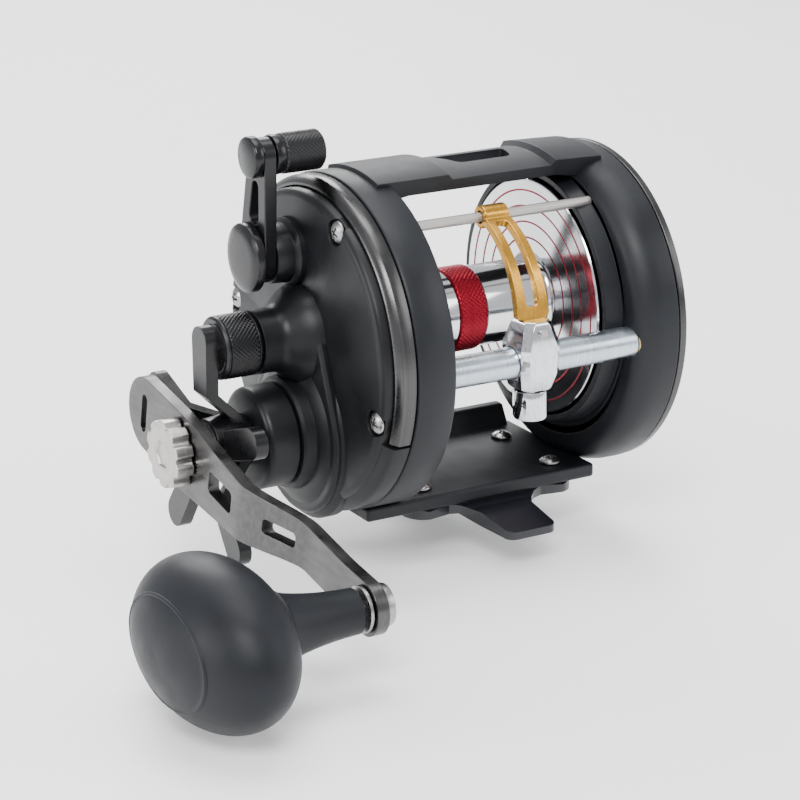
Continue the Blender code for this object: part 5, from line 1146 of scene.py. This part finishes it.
class REEL_OT_inside(bpy.types.Operator):
    """The surfaces of the pieces whose shapes are already fine enough"""

    bl_idname = "reel.inside"
    bl_label = "Working parts"

    def execute(self, context):
        groups = {
            "turned_steel": (
                "bridge_plate", "spool_shaft", "gear_sleeve", "drag_plate", "left_spool_bearing",
                "right_spool_bearing", "anti_reverse_bearing", "worm_shaft", "click_ratchet",
            ),
            "screw_steel": (
                "yoke_spring_front", "yoke_spring_rear", "dog_ratchet", "anti_reverse_dog",
                "clutch_cam", "carriage_screw", "click_tongue",
            ),
            "brass": (
                "main_gear", "pinion_gear", "yoke", "pawl", "left_worm_bushing",
                "right_worm_bushing",
            ),
            "nylon": ("spool_gear", "idler_gear", "worm_gear"),
            "carbon": ("drag_washer",),
            "anodised_black": ("click_button",),
        }
        for material, names in groups.items():
            for name in names:
                paint(NODES[name], material)
        return {"FINISHED"}


def paint(obj, material):
    for slot in obj.material_slots:
        slot.material = surfaces()[material]


class REEL_OT_stage(bpy.types.Operator):
    """A pale floor, soft lights and the camera"""

    bl_idname = "reel.stage"
    bl_label = "Stage"

    def execute(self, context):
        scene = context.scene
        bpy.ops.mesh.primitive_plane_add(size=8.0, location=(0.0, 0.0, -0.0085))
        floor = context.object
        floor.name = "floor"
        n = Nodes("floor_paper")
        grain = n.noise(n.place(), 60.0)
        colour = looks().floor_colour
        tone = n.mix(grain, shade(colour, 0.985), shade(colour, 1.01))
        paper = n.finish(
            tone, Roughness=0.6, Emission_Strength=0.22, Emission_Color=(1.0, 1.0, 1.0, 1.0)
        )
        floor.data.materials.append(paper)
        self.camera(scene)
        self.lights(scene)
        return {"FINISHED"}

    def camera(self, scene):
        data = bpy.data.cameras.new("camera")
        data.lens = 126.0
        data.sensor_width = 36.0
        data.clip_start = 0.01
        camera = bpy.data.objects.new("camera", data)
        azimuth, elevation = math.radians(-30.53), math.radians(18.24)
        back = Vector((
            math.sin(azimuth) * math.cos(elevation),
            -math.cos(azimuth) * math.cos(elevation),
            math.sin(elevation),
        ))
        camera.location = Vector((-352.98, -567.62, 245.82)) * MM
        camera.rotation_euler = back.to_track_quat("Z", "Y").to_euler()
        scene.collection.objects.link(camera)
        scene.camera = camera

    def lights(self, scene):
        world = bpy.data.worlds.new("studio")
        scene.world = world
        world.use_nodes = True
        background = world.node_tree.nodes["Background"]
        background.inputs["Color"].default_value = (0.95, 0.97, 1.0, 1.0)
        background.inputs["Strength"].default_value = 0.85
        aims = (
            ("key", (-0.55, -0.75, 0.95), 0.55, 14.0),
            ("fill", (0.85, -0.65, 0.55), 0.70, 5.0),
            ("top", (0.05, 0.10, 1.10), 0.80, 10.0),
            ("back", (0.25, 0.95, 0.65), 0.60, 9.0),
            ("side", (-1.05, 0.10, 0.35), 0.50, 6.0),
        )
        middle = Vector((-0.03, -0.01, 0.04))
        for name, place, size, power in aims:
            data = bpy.data.lights.new(name, "AREA")
            data.shape = "RECTANGLE"
            data.size = size
            data.size_y = size * 0.8
            data.energy = power
            light = bpy.data.objects.new(name, data)
            light.location = place
            towards = Vector(place) - middle
            light.rotation_euler = towards.to_track_quat("Z", "Y").to_euler()
            scene.collection.objects.link(light)


STEPS = (
    REEL_OT_frame,
    REEL_OT_handle_plate,
    REEL_OT_plain_plate,
    REEL_OT_trim,
    REEL_OT_screws,
    REEL_OT_spool,
    REEL_OT_level_wind,
    REEL_OT_crank,
    REEL_OT_grip,
    REEL_OT_controls,
    REEL_OT_foot,
    REEL_OT_inside,
    REEL_OT_stage,
)


class REEL_PT_panel(bpy.types.Panel):
    """Lists the steps and the settings"""

    bl_label = "Trolling reel"
    bl_idname = "REEL_PT_panel"
    bl_space_type = "VIEW_3D"
    bl_region_type = "UI"
    bl_category = "Reel"

    def draw(self, context):
        settings = context.scene.reel_looks
        for name in settings.bl_rna.properties.keys():
            if name not in ("rna_type", "name"):
                self.layout.prop(settings, name)
        for step in STEPS:
            self.layout.operator(step.bl_idname)


CLASSES = (ReelLooks, *STEPS, REEL_PT_panel)


def register():
    for cls in CLASSES:
        bpy.utils.register_class(cls)
    bpy.types.Scene.reel_looks = bpy.props.PointerProperty(type=ReelLooks)


def unregister():
    del bpy.types.Scene.reel_looks
    for cls in reversed(CLASSES):
        bpy.utils.unregister_class(cls)


def main():
    register()
    for step in STEPS:
        group, name = step.bl_idname.split(".")
        getattr(getattr(bpy.ops, group), name)()


if __name__ == "__main__":
    main()
